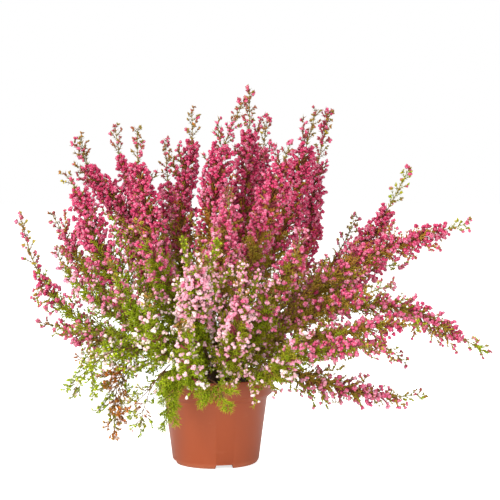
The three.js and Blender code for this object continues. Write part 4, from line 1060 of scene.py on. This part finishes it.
def grow_plume(shoot, bells, leaves):
    """Grows a plume. More and more of its twigs towards its head hold a bunch of bells, and the others
    are leafy. It is paler at its foot."""
    full = FLOWERS[shoot.stem][shoot.order]
    twigs, in_flower, share = plume_twigs(shoot, full)
    hue = leaf_hue(shoot.stem, twigs.end)
    tone = np.minimum(shoot.tone + FADE * (FADE_AT - share), PALEST)
    tone = (tone + rng.normal(0, 0.07 + 0.1 * shoot.tone, len(share)))[in_flower]
    held = pick(twigs, in_flower)
    count = len(held.start)
    # Painted shade, in part: most twigs that hold bells get dusky red leaves, darker than the rest
    dusky = rng.random(count) < DUSKY_SHARE
    held_hue = np.where(dusky, rng.choice(DUSKY_HUES, count), hue[in_flower])
    clothe(leaves, held, pitch=12, size=4.8, hue=held_hue, core=1.15)
    hang_bells(bells, held, rng.integers(4, 7, count) + (full > DENSE_FROM), BELL, tone)
    # Painted shade, in part: one larger closed bell deep in each bunch, a little darker in tone
    if shoot.tone < INNER_BELLS_BELOW:
        hang_bells(bells, held, 1, BELL * 1.3, tone - 0.1, first=0.5, last=0.8, opened=0)
    clothe(leaves, pick(twigs, ~in_flower), pitch=3.9, size=5.4, hue=hue[~in_flower], core=1.0)
    needles_on_wood(leaves, shoot, *shoot.bloom(), pitch=9, size=5.5, hue=LOOKS[shoot.stem].leaf)


def grow_spikes(shoot, bells, wood, leaves):
    """Grows side spikes from the leafy wood below a plume and from its lower half: small branching
    shoots whose outer twigs hold small bunches, and whose inner ones are leafy."""
    low, high = shoot.bloom()
    spikes = twigs_on_shoot(shoot, low * 0.75, mix(low, high, 0.5), pitch=15, reach=(52, 30), lift=0.55)
    count = len(spikes.start)
    add_twigs(wood, spikes, 0.55, np.full(count, 0.75), (0.4, 0.5, 0.65, 0.85))
    twigs, spike = twigs_on_twigs(spikes, pitch=3.6, reach=9.5, first=0.15)
    hue = leaf_hue(shoot.stem, spikes.end)[spike]
    outer = np.linalg.norm(twigs.start - spikes.start[spike], axis=1) > 0.42 * spikes.length[spike]
    held = outer & (rng.random(len(spike)) < FLOWERS[shoot.stem][shoot.order])
    tone = (shoot.tone + 0.12 + rng.normal(0, 0.07, count))[spike]
    many = np.where(held, rng.integers(3, 5, len(spike)), 0)
    hang_bells(bells, twigs, many, BELL, tone, first=0.8)
    needles_on_twigs(leaves, pick(twigs, held), pitch=5.5, size=4.6, hue=hue[held])
    clothe(leaves, pick(twigs, ~held), pitch=3.7, size=5.2, hue=hue[~held])


def grow_tip(shoot, bells, leaves):
    """Grows the leafy tip above a plume: side twigs that shorten upwards and end in tufts of closed
    buds, some of them dusky red, with a few small bells low down and often a bunch at its end."""
    low, high = shoot.bloom()[1], shoot.route.length
    hues = LOOKS[shoot.stem].tips
    needles_on_wood(leaves, shoot, low, high, pitch=4.5, size=4.2, hue=hues[0])
    twigs = twigs_on_shoot(shoot, low, high - 1, pitch=2.9, reach=(12.5, 7), lift=0.85)
    count = len(twigs.start)
    clothe(leaves, twigs, pitch=3, size=3.8, hue=np.full(count, hues[0]), core=0.4)
    add_tufts(leaves, twigs, many=5, size=3.4, hue=rng.choice(hues, count))
    many = np.where(rng.random(count) < mix(0.6, 0.08, np.linspace(0, 1, count)), 3, 0)
    many[-3:] = rng.integers(2, 7, 3) * (rng.random() < 0.6)
    tone = shoot.tone + 0.1 + rng.normal(0, 0.06, count)
    hang_bells(bells, twigs, many, BELL * 0.9, tone, first=0.5)


def grow_branches(sides, bells, wood, leaves, hue, share, tone=0.9, size=5.3, twig=10.0, first=0.2,
                  gap=3.7, tufts=0, width=NEEDLE_WIDTH, pitch=3.6, core=1.15):
    """Clothes side shoots in leafy twigs, a share of which hold a few bells."""
    count = len(sides.start)
    add_twigs(wood, sides, 0.5, np.full(count, 0.7), (0.3, 0.45, 0.6, 0.8))
    twigs, side = twigs_on_twigs(sides, gap, twig, first)
    hues = (rng.choice(np.atleast_1d(hue), count) + rng.normal(0, 0.05, count))[side]
    hues = hues + rng.normal(0, 0.03, len(side))
    clothe(leaves, twigs, pitch, size, hues, core, width)
    if tufts:
        add_tufts(leaves, twigs, tufts, 3.8, hues)
    many = np.where(rng.random(len(side)) < share, rng.integers(2, 4, len(side)), 0)
    hang_bells(bells, twigs, many, BELL * 0.9, tone + rng.normal(0, 0.06, len(side)), first=0.7)


def grow_leafy(shoot, low, high, every, reach, skins, **looks):
    """Grows side shoots along a stretch of a shoot, apart from those that would end in the pot."""
    sides = twigs_on_shoot(shoot, low, high, every, reach, lift=0.62)
    x, y, z = sides.end.T
    sides = pick(sides, (z > RIM_TOP + 3) | (np.hypot(x, y) > RIM_RADIUS + 4))
    if len(sides.start):
        grow_branches(sides, *skins, **looks)


def grow_low(shoot, skins):
    """Grows the leafy side shoots below a plume: long ones as far as its foot, and short ones close to
    the soil."""
    look = LOOKS[shoot.stem]
    looks = leafy(look.leaf, look.low_share, look.low_tone)
    grow_leafy(shoot, 20, shoot.bloom()[0] * 1.1, look.pitch, (21, 40), skins, **looks)
    grow_leafy(shoot, 6, 60, 7, (10, 20), skins, **looks)


def grow_sprays(shoot, skins):
    """Grows the side shoots of a shoot that are placed one by one."""
    here = shoot.stem, shoot.order
    sighted = [(s, in_depth(*bend), in_depth(*end), looks)
               for s, bend, end, looks in SIGHTED_SPRAYS.get(here, ())]
    for s, bend, end, looks in [*SPRAYS.get(here, ()), *sighted]:
        start, middle, end = np.array([shoot.route.at(s), bend, end], float)[:, None]
        way = end - start
        grow_branches(Twigs(start, middle, end, np.linalg.norm(way, axis=1), unit(way)), *skins, **looks)


def eased(profile, ease, steps=4):
    """A profile with its corners rounded: each corner is cut back by ease and bridged by a curve that
    bends towards it."""
    made = [profile[0]]
    for before, corner, after in zip(profile, profile[1:], profile[2:]):
        back, on = np.subtract(before, corner), np.subtract(after, corner)
        cut = min(ease, 0.45 * np.hypot(*back), 0.45 * np.hypot(*on))
        start, end = corner + unit(back) * cut, corner + unit(on) * cut
        t = np.linspace(0, 1, steps)[:, None]
        made.extend(start * (1 - t)**2 + np.array(corner) * 2 * t * (1 - t) + end * t**2)
    return np.array([*made, profile[-1]])


def add_pot(skin):
    """The pot: a profile turned about the upright axis. Near the foot its points are lifted by
    notch (1 - height / floor), where notch is nought round the foot but in four short windows."""
    floor_top = FLOOR + WALL
    slope = (BODY_TOP_RADIUS - BODY_FOOT_RADIUS) / (BODY_TOP - FOOT_ROUND)
    floor_radius = BODY_FOOT_RADIUS + slope * (floor_top - FOOT_ROUND) - WALL
    profile = eased([
        (0, 0), (PAD_RADIUS, 0), (PAD_RADIUS + POT_TAPER, FLOOR), (FOOT_RADIUS - WALL, FLOOR),
        (FOOT_RADIUS - WALL, 0), (FOOT_RADIUS, 0), (BODY_FOOT_RADIUS, FOOT_ROUND),
        (BODY_TOP_RADIUS, BODY_TOP), (RIM_RADIUS - POT_TAPER, RIM_BOTTOM), (RIM_RADIUS, RIM_TOP),
        (RIM_RADIUS - WALL, RIM_TOP), (RIM_RADIUS - WALL, RIM_BOTTOM + WALL / 2),
        (BODY_TOP_RADIUS - WALL, BODY_TOP + WALL / 2), (floor_radius, floor_top), (0, floor_top),
    ], POT_EASE)
    edges = [NOTCH_AZIMUTH + 90 * i + side * (NOTCH_HALF_TURN + step)
             for i in range(4) for side in (-1, 1) for step in (-NOTCH_SLOPE, 0, NOTCH_SLOPE)]
    turn = np.unique(np.round(np.concatenate([np.arange(0, 360, POT_STEP), np.array(edges) % 360]), 3))
    off = np.abs((turn - NOTCH_AZIMUTH + 45) % 90 - 45)
    notch = NOTCH_HEIGHT * np.clip((NOTCH_HALF_TURN - off) / NOTCH_SLOPE + 0.5, 0, 1)
    radius, height = profile[1:-1].T
    lifted = height[:, None] + notch * np.clip(1 - height[:, None] / FLOOR, 0, 1)
    a = np.radians(turn)
    rings = np.stack([radius[:, None] * np.cos(a), radius[:, None] * np.sin(a), lifted], -1)
    points = np.concatenate([[[0, 0, profile[0][1]]], rings.reshape(-1, 3), [[0, 0, profile[-1][1]]]])
    length = np.concatenate([[0], np.cumsum(np.hypot(*np.diff(profile, axis=0).T))])
    v = np.repeat(length[1:-1] / length[-1], len(turn))
    marks = np.stack([np.concatenate([[0], np.tile(turn / 360, len(radius)), [0]]),
                      np.concatenate([[0], v, [1]])], -1)
    skin.add(points[None], shell_faces(len(turn), len(radius)), marks[None])


def pierce_floor(pot):
    """Cuts the drain holes out of the pot's floor: four upright prisms on a circle, in line with the
    notches."""
    turn = np.radians(NOTCH_AZIMUTH + 90 * np.arange(4))
    foot = np.stack([DRAIN_CIRCLE * np.cos(turn), DRAIN_CIRCLE * np.sin(turn), 0 * turn + FLOOR - 1], 1)
    path = foot[:, None] + UP * np.array([0, 0, WALL + 2, WALL + 2])[:, None]
    drains = Skin()
    drains.turned(path, DRAIN_RADIUS * np.array([0, 1, 1, 0]), DRAIN_SIDES, (0 * turn, 0, np.zeros(4)),
                  along=np.broadcast_to(UP, (4, 3)))
    cutter = put("drains", drains.data("drains"))
    cut = pot.modifiers.new("drains", "BOOLEAN")
    cut.object, cut.operation, cut.solver = cutter, "DIFFERENCE", "EXACT"
    pierced = bpy.data.meshes.new_from_object(pot.evaluated_get(bpy.context.evaluated_depsgraph_get()))
    pot.modifiers.clear()
    pot.data = pierced
    bpy.data.objects.remove(cutter)


def ripples(x, y, waves, finest, coarsest):
    """A rough surface between about -1 and 1: the mean of many sine waves that run every way."""
    way = rng.uniform(0, 2 * np.pi, waves)
    pace = 2 * np.pi / np.exp(rng.uniform(np.log(finest), np.log(coarsest), waves))
    start = rng.uniform(0, 2 * np.pi, waves)
    phase = (x[..., None] * np.cos(way) + y[..., None] * np.sin(way)) * pace + start
    return np.sin(phase).sum(-1) / np.sqrt(waves)


def soil_height(radius):
    """The height of the soil at a radius: flat to its crown, and then falling evenly to its edge."""
    return np.interp(radius, [SOIL_CROWN, SOIL_RADIUS], [SOIL_TOP, SOIL_EDGE])


def add_soil(skin):
    """The soil: a flat-bottomed body whose top is domed and rough, on rings of points about the pot's
    axis."""
    a = around(SOIL_SIDES)
    reach = np.linspace(SOIL_RADIUS, SOIL_EYE, SOIL_RINGS)
    radius = np.concatenate([SOIL_SIDE_RADII, reach])
    x, y = radius[:, None] * np.cos(a), radius[:, None] * np.sin(a)
    rough = ROUGHNESS * np.interp(reach, [FADE_FROM, SOIL_RADIUS], [1, FADE_TO])[:, None]
    waves = ripples(x[3:], y[3:], ROUGH_WAVES, *ROUGH_LENGTHS)
    top = soil_height(reach)[:, None] - SOIL_SINK + rough * waves
    z = np.concatenate([np.broadcast_to(np.array(SOIL_SIDE_HEIGHTS)[:, None], (3, SOIL_SIDES)), top])
    points = np.concatenate([[[0, 0, SOIL_SIDE_HEIGHTS[0]]], np.stack([x, y, z], -1).reshape(-1, 3),
                             [[0, 0, SOIL_TOP - SOIL_SINK]]])
    marks = points[None, :, :2] / (2 * RIM_RADIUS) + 0.5
    skin.add(points[None], shell_faces(SOIL_SIDES, len(radius)), marks)


def add_crumbs(skin):
    """Crumbs of peat and bark strewn over the soil: short five-sided spindles that lie every way."""
    r, t = CRUMB_REACH * np.sqrt(rng.random(CRUMBS)), rng.uniform(0, 2 * np.pi, CRUMBS)
    size = rng.uniform(*CRUMB_SIZES, CRUMBS)
    place = np.stack([r * np.cos(t), r * np.sin(t), soil_height(r) - 0.3 + 0.3 * size], 1)
    axis = unit(rng.normal(0, 1, (CRUMBS, 3)) * (1, 1, 0.5))
    path = place[:, None] + axis[:, None] * (size[:, None] * np.array([-1, -0.5, 0.5, 1]))[..., None]
    radii = size[:, None] * rng.uniform(*CRUMB_GIRTHS, (CRUMBS, 1)) * np.array([0, 1, 0.9, 0])
    marks = 0.5 + place[:, 0] / (2 * RIM_RADIUS), CRUMB_SPREAD, np.array([0.1, 0.3, 0.6, 0.9])
    skin.turned(path, radii, CRUMB_SIDES, marks, along=axis)


def node(tree, kind, values=None, **settings):
    """A node of a kind, with settings of its own, and a value or a link for each input named."""
    made = tree.nodes.new(kind)
    for key, value in settings.items():
        setattr(made, key, value)
    for key, value in (values or {}).items():
        if isinstance(value, bpy.types.NodeSocket):
            tree.links.new(value, made.inputs[key])
        else:
            made.inputs[key].default_value = value
    return made


def linear(code):
    """A colour written as six hexadecimal digits, as light."""
    parts = np.array([int(code[i:i + 2], 16) for i in (0, 2, 4)]) / 255
    return (*np.where(parts > 0.04045, ((parts + 0.055) / 1.055)**2.4, parts / 12.92), 1)


def ramp(tree, factor, stops):
    """Colours blended along a factor."""
    made = node(tree, "ShaderNodeValToRGB", {"Fac": factor})
    band = made.color_ramp
    while len(band.elements) < len(stops):
        band.elements.new(0.5)
    for element, (place, code) in zip(band.elements, stops):
        element.position, element.color = place, linear(code)
    return made.outputs["Color"]


def fade(tree, factor, start, end):
    """A mask that is nought up to a start and full from an end."""
    return ramp(tree, factor, [(start, "000000"), (end, "ffffff")])


def blend(tree, factor, a, b, kind="MIX"):
    """Two colours blended."""
    return node(tree, "ShaderNodeMix", {0: factor, 6: a, 7: b}, data_type="RGBA", blend_type=kind).outputs[2]


def sums(tree, kind, a, b, clamp=False):
    """One sum on two values."""
    return node(tree, "ShaderNodeMath", {0: a, 1: b}, operation=kind, use_clamp=clamp).outputs[0]


def scaled(tree, value, gain, base):
    """A value times a gain, on top of a base."""
    return sums(tree, "ADD", sums(tree, "MULTIPLY", value, gain), base)


def make_mottle():
    """A group that varies a colour from place to place: noise of a scale, at an amount either way."""
    group = bpy.data.node_groups.new("mottle", "ShaderNodeTree")
    for name, kind, in_out in (("Color", "Color", "INPUT"), ("Vector", "Vector", "INPUT"),
                               ("Scale", "Float", "INPUT"), ("Amount", "Float", "INPUT"),
                               ("Color", "Color", "OUTPUT"), ("Value", "Float", "OUTPUT")):
        group.interface.new_socket(name=name, in_out=in_out, socket_type=f"NodeSocket{kind}")
    given = group.nodes.new("NodeGroupInput").outputs
    noise = node(group, "ShaderNodeTexNoise", {"Vector": given["Vector"], "Scale": given["Scale"],
                                               "Detail": 3.0, "Roughness": 0.6})
    off = sums(group, "SUBTRACT", noise.outputs["Fac"], 0.5)
    gain = scaled(group, off, given["Amount"], 1.0)
    hue = node(group, "ShaderNodeHueSaturation", {"Color": given["Color"], "Value": gain})
    out = group.nodes.new("NodeGroupOutput")
    group.links.new(hue.outputs[0], out.inputs["Color"])
    group.links.new(noise.outputs["Fac"], out.inputs["Value"])
    return group


MOTTLE = make_mottle()


def mottled(tree, color, vector, scale, amount):
    """The shared group placed in a material: its colour and its value."""
    values = {"Color": color, "Vector": vector, "Scale": scale, "Amount": amount}
    made = node(tree, "ShaderNodeGroup", values, node_tree=MOTTLE)
    return made.outputs["Color"], made.outputs["Value"]


def paint(name):
    """A new material: its node tree and its surface shader."""
    made = bpy.data.materials.new(name)
    made.use_nodes = True
    return made, made.node_tree, made.node_tree.nodes["Principled BSDF"]


def strip(tree):
    """A piece's own map, as its vector and its two shares."""
    vector = node(tree, "ShaderNodeUVMap", uv_map="OFBake").outputs[0]
    parts = node(tree, "ShaderNodeSeparateXYZ", {0: vector}).outputs
    return vector, parts["X"], parts["Y"]


def bell_paint():
    """Bells: across the map from magenta to near white, and along it a stalk and calyx, the urn, a
    paler lip and a throat darkened by painted shade."""
    made, tree, shader = paint("bell_petals")
    vector, tone, along = strip(tree)
    flesh = ramp(tree, tone, [(0, "b62a56"), (0.15, "c8446e"), (0.35, "d66a8b"), (0.55, "e192a8"),
                              (0.75, "ecb6c0"), (0.9, "f2d2cc"), (1, "f4e6da")])
    calyx = ramp(tree, tone, [(0, "7c2b3c"), (0.5, "a3584f"), (0.8, "a9a05a"), (1, "b9b96c")])
    flesh, _ = mottled(tree, flesh, vector, 95.0, 0.75)
    color = blend(tree, fade(tree, along, 0.08, 0.34), calyx, flesh)
    lip = ramp(tree, along, [(0.66, "000000"), (0.84, "ffffff"), (0.87, "ffffff"), (0.9, "000000")])
    color = blend(tree, sums(tree, "MULTIPLY", lip, 0.35), color, linear("f8dfe6"))
    # Painted shade: the hollow throat of each open bell is darkened to a deep red-purple
    throat = sums(tree, "MULTIPLY", fade(tree, along, 0.87, 0.94), 0.65)
    color = blend(tree, throat, color, linear("6d1d3c"))
    tree.links.new(color, shader.inputs["Base Color"])
    tree.links.new(scaled(tree, along, 0.12, 0.48), shader.inputs["Roughness"])
    shader.inputs["Specular IOR Level"].default_value = 0.3
    return made


def leaf_paint():
    """Needles and buds: across the map from fresh yellow-green by olive to dried orange-brown, then the
    dull and dusky hues of tips. Each is darkened at its foot by painted shade and paler at its tip."""
    made, tree, shader = paint("needle_leaf")
    vector, hue, along = strip(tree)
    green = ramp(tree, hue, [(0, "d2e22c"), (0.12, "a2ba1c"), (0.3, "aca824"), (0.45, "bca238"),
                             (0.6, "cc9640"), (0.72, "e07a30"), (0.8, "8f8438"), (0.88, "a0623c"),
                             (0.97, "b44e5e")])
    green, _ = mottled(tree, green, vector, 70.0, 0.7)
    # Painted shade: each needle, bud and twig core is darker at its foot, deep among the foliage
    shade = ramp(tree, along, [(0, "929292"), (0.5, "e2e2e2"), (1, "ffffff")])
    color = blend(tree, 1.0, green, shade, "MULTIPLY")
    tree.links.new(color, shader.inputs["Base Color"])
    tree.links.new(scaled(tree, along, 0.1, 0.58), shader.inputs["Roughness"])
    shader.inputs["Specular IOR Level"].default_value = 0.15
    return made


def bark_paint():
    """Wood: along the map from brown bark at the foot to reddish and then olive young shoots, with
    pale and dark streaks."""
    made, tree, shader = paint("bark")
    vector, _, age = strip(tree)
    color = ramp(tree, age, [(0, "57402c"), (0.25, "6b4a30"), (0.5, "75482f"), (0.75, "7f6436"),
                             (1, "8a8440")])
    color, streak = mottled(tree, color, vector, 46.0, 0.8)
    tree.links.new(color, shader.inputs["Base Color"])
    tree.links.new(scaled(tree, streak, 0.2, 0.6), shader.inputs["Roughness"])
    return made


def soil_paint():
    """Soil: dark peat with lighter fibres and crumbs, and a rough grain."""
    made, tree, shader = paint("potting_soil")
    place = node(tree, "ShaderNodeTexCoord").outputs["Object"]
    base, value = mottled(tree, linear("33241a"), place, 420.0, 1.4)
    fibre = node(tree, "ShaderNodeTexNoise", {"Vector": place, "Scale": 900.0, "Detail": 4.0})
    mask = fade(tree, fibre.outputs["Fac"], 0.58, 0.7)
    color = blend(tree, mask, base, linear("6b5138"))
    tree.links.new(color, shader.inputs["Base Color"])
    tree.links.new(scaled(tree, value, 0.2, 0.75), shader.inputs["Roughness"])
    bump = node(tree, "ShaderNodeBump", {"Height": value, "Strength": 0.6, "Distance": 0.001})
    tree.links.new(bump.outputs[0], shader.inputs["Normal"])
    return made


def pot_paint():
    """Moulded plastic: terracotta, a little uneven, with faint scuffs that are paler and duller, and
    a painted highlight: a paler, duller band at the foot."""
    made, tree, shader = paint("moulded_plastic")
    place = node(tree, "ShaderNodeTexCoord").outputs["Object"]
    color, cloud = mottled(tree, linear("96421b"), place, 22.0, 0.16)
    stretch = node(tree, "ShaderNodeMapping", {"Vector": place, "Scale": (40.0, 40.0, 90.0)}).outputs[0]
    scuff = node(tree, "ShaderNodeTexNoise", {"Vector": stretch, "Scale": 1.0, "Detail": 4.0}).outputs["Fac"]
    worn = sums(tree, "MULTIPLY", fade(tree, scuff, 0.62, 0.8), 0.12)
    height = node(tree, "ShaderNodeSeparateXYZ", {0: place}).outputs["Z"]
    # Painted highlight: the lowest six millimetres of the pot, at its rounded foot, are blended paler
    foot = node(tree, "ShaderNodeMapRange", {"Value": height, "From Min": 0.006, "From Max": 0.0}).outputs[0]
    # The scuffs, which are wear, and the painted highlight at the foot share this mask and colour
    mask = sums(tree, "ADD", worn, sums(tree, "MULTIPLY", foot, 0.3), True)
    color = blend(tree, mask, color, linear("cd8a66"))
    tree.links.new(color, shader.inputs["Base Color"])
    rough = sums(tree, "ADD", scaled(tree, cloud, 0.16, 0.34), sums(tree, "MULTIPLY", mask, 0.2))
    tree.links.new(rough, shader.inputs["Roughness"])
    grain = node(tree, "ShaderNodeTexNoise", {"Vector": place, "Scale": 1400.0, "Detail": 2.0})
    bump = node(tree, "ShaderNodeBump", {"Height": grain.outputs["Fac"], "Strength": 0.08,
                                         "Distance": 0.0002})
    tree.links.new(bump.outputs[0], shader.inputs["Normal"])
    return made


BELLS, LEAF, BARK = bell_paint(), leaf_paint(), bark_paint()
SLOTS = {part["node"]: part["material_slot"] for part in frame["record"]["subparts"]}


def make_stem(stem, shoots):
    """The pieces of a stem: its wood, its needles with the leafy side shoots, the bells low on it, and
    for each plume its own bells."""
    wood, leaves, low_bells = Skin(), Skin(), Skin()
    low_skins = low_bells, wood, leaves
    for shoot in shoots:
        add_wood(wood, shoot)
        if shoot.girth:
            bells = Skin()
            grow_plume(shoot, bells, leaves)
            grow_tip(shoot, bells, leaves)
            grow_spikes(shoot, bells, wood, leaves)
            grow_low(shoot, low_skins)
            name = f"{stem}_{shoot.order + 1}"
            bells.mesh(f"bells_{name}", BELLS, SLOTS[f"plume_{name}"], stands_for=[f"plume_{name}"])
        else:
            low, reach, looks = SPRIGS[stem, shoot.order]
            grow_leafy(shoot, low, shoot.route.length, SPRIG_PITCH, reach, low_skins, **looks)
        grow_sprays(shoot, low_skins)
    wood.mesh(f"wood_{stem}", BARK, "foliage", stands_for=[f"stem_{stem}"])
    leaves.mesh(f"needles_{stem}", LEAF, "foliage")
    if low_bells.count:
        low_bells.mesh(f"low_bells_{stem}", BELLS, "bells_pale")


shoots = [Shoot(stem, order, root, *row) for stem, (root, rows) in BUSH.items()
          for order, row in enumerate(rows)]
bend_clear(shoots)
for stem in BUSH:
    make_stem(stem, [shoot for shoot in shoots if shoot.stem == stem])

pot_skin, soil_skin = Skin(), Skin()
add_pot(pot_skin)
pot = pot_skin.mesh("moulded_pot", pot_paint(), "pot_plastic", map_name="turned", stands_for=["pot"])
pierce_floor(pot)
add_soil(soil_skin)
add_crumbs(soil_skin)
soil_skin.mesh("rough_soil", soil_paint(), "soil", map_name="laid", stands_for=["soil"])


def add_stage():
    """A pale floor: a wide disc just below the pot's foot."""
    disc = Skin()
    a = around(STAGE_SIDES)
    rim = STAGE_RADIUS * np.stack([np.cos(a), np.sin(a), 0 * a], 1)
    points = np.concatenate([[[0, 0, 0]], rim]) - UP * STAGE_DROP
    i = np.arange(STAGE_SIDES)
    disc.add(points[None], [np.stack([0 * i, 1 + i, 1 + (i + 1) % STAGE_SIDES], -1)], points[None, :, :2])
    data = disc.data("floor")
    material, tree, shader = paint("floor")
    shader.inputs["Base Color"].default_value = linear("f4f4f2")
    shader.inputs["Roughness"].default_value = 0.9
    shader.inputs["Emission Color"].default_value = (1, 1, 1, 1)
    seen = node(tree, "ShaderNodeLightPath").outputs["Is Camera Ray"]
    tree.links.new(sums(tree, "MULTIPLY", seen, STAGE_GLOW), shader.inputs["Emission Strength"])
    data.materials.append(material)
    put("floor", data)


def add_air():
    """Plain white all round: the camera sees it pure white, and it lights the plant more softly."""
    world = bpy.context.scene.world or bpy.data.worlds.new("studio")
    bpy.context.scene.world = world
    world.use_nodes = True
    air = world.node_tree
    seen = node(air, "ShaderNodeLightPath").outputs["Is Camera Ray"]
    strength = scaled(air, seen, 1 - AIR_LIGHT, AIR_LIGHT)
    air.links.new(strength, air.nodes["Background"].inputs["Strength"])
    air.nodes["Background"].inputs["Color"].default_value = (1, 1, 1, 1)


def add_lamp(name, place, aim, size, power):
    """A soft square lamp that faces a point."""
    lamp = bpy.data.lights.new(name, "AREA")
    lamp.size, lamp.energy = size, power
    made = put(name, lamp)
    made.location = place
    made.rotation_euler = (Vector(aim) - Vector(place)).to_track_quat("-Z", "Y").to_euler()


def add_camera():
    """The camera: level with the upper plant and turned down a little, as the photo was taken."""
    camera = bpy.data.cameras.new("camera")
    camera.sensor_width, camera.lens = 36, 36 * FOCAL / FRAME
    camera.clip_start, camera.clip_end = 0.05, 60
    view = put("camera", camera)
    view.location = np.array(CAMERA_PLACE) * MM
    view.rotation_euler = (math.radians(90 - CAMERA_FALL), 0, 0)
    bpy.context.scene.camera = view


add_stage()
add_air()
for name, lamp in LAMPS.items():
    add_lamp(name, *lamp)
add_camera()
bpy.context.scene.view_settings.view_transform = "Standard"
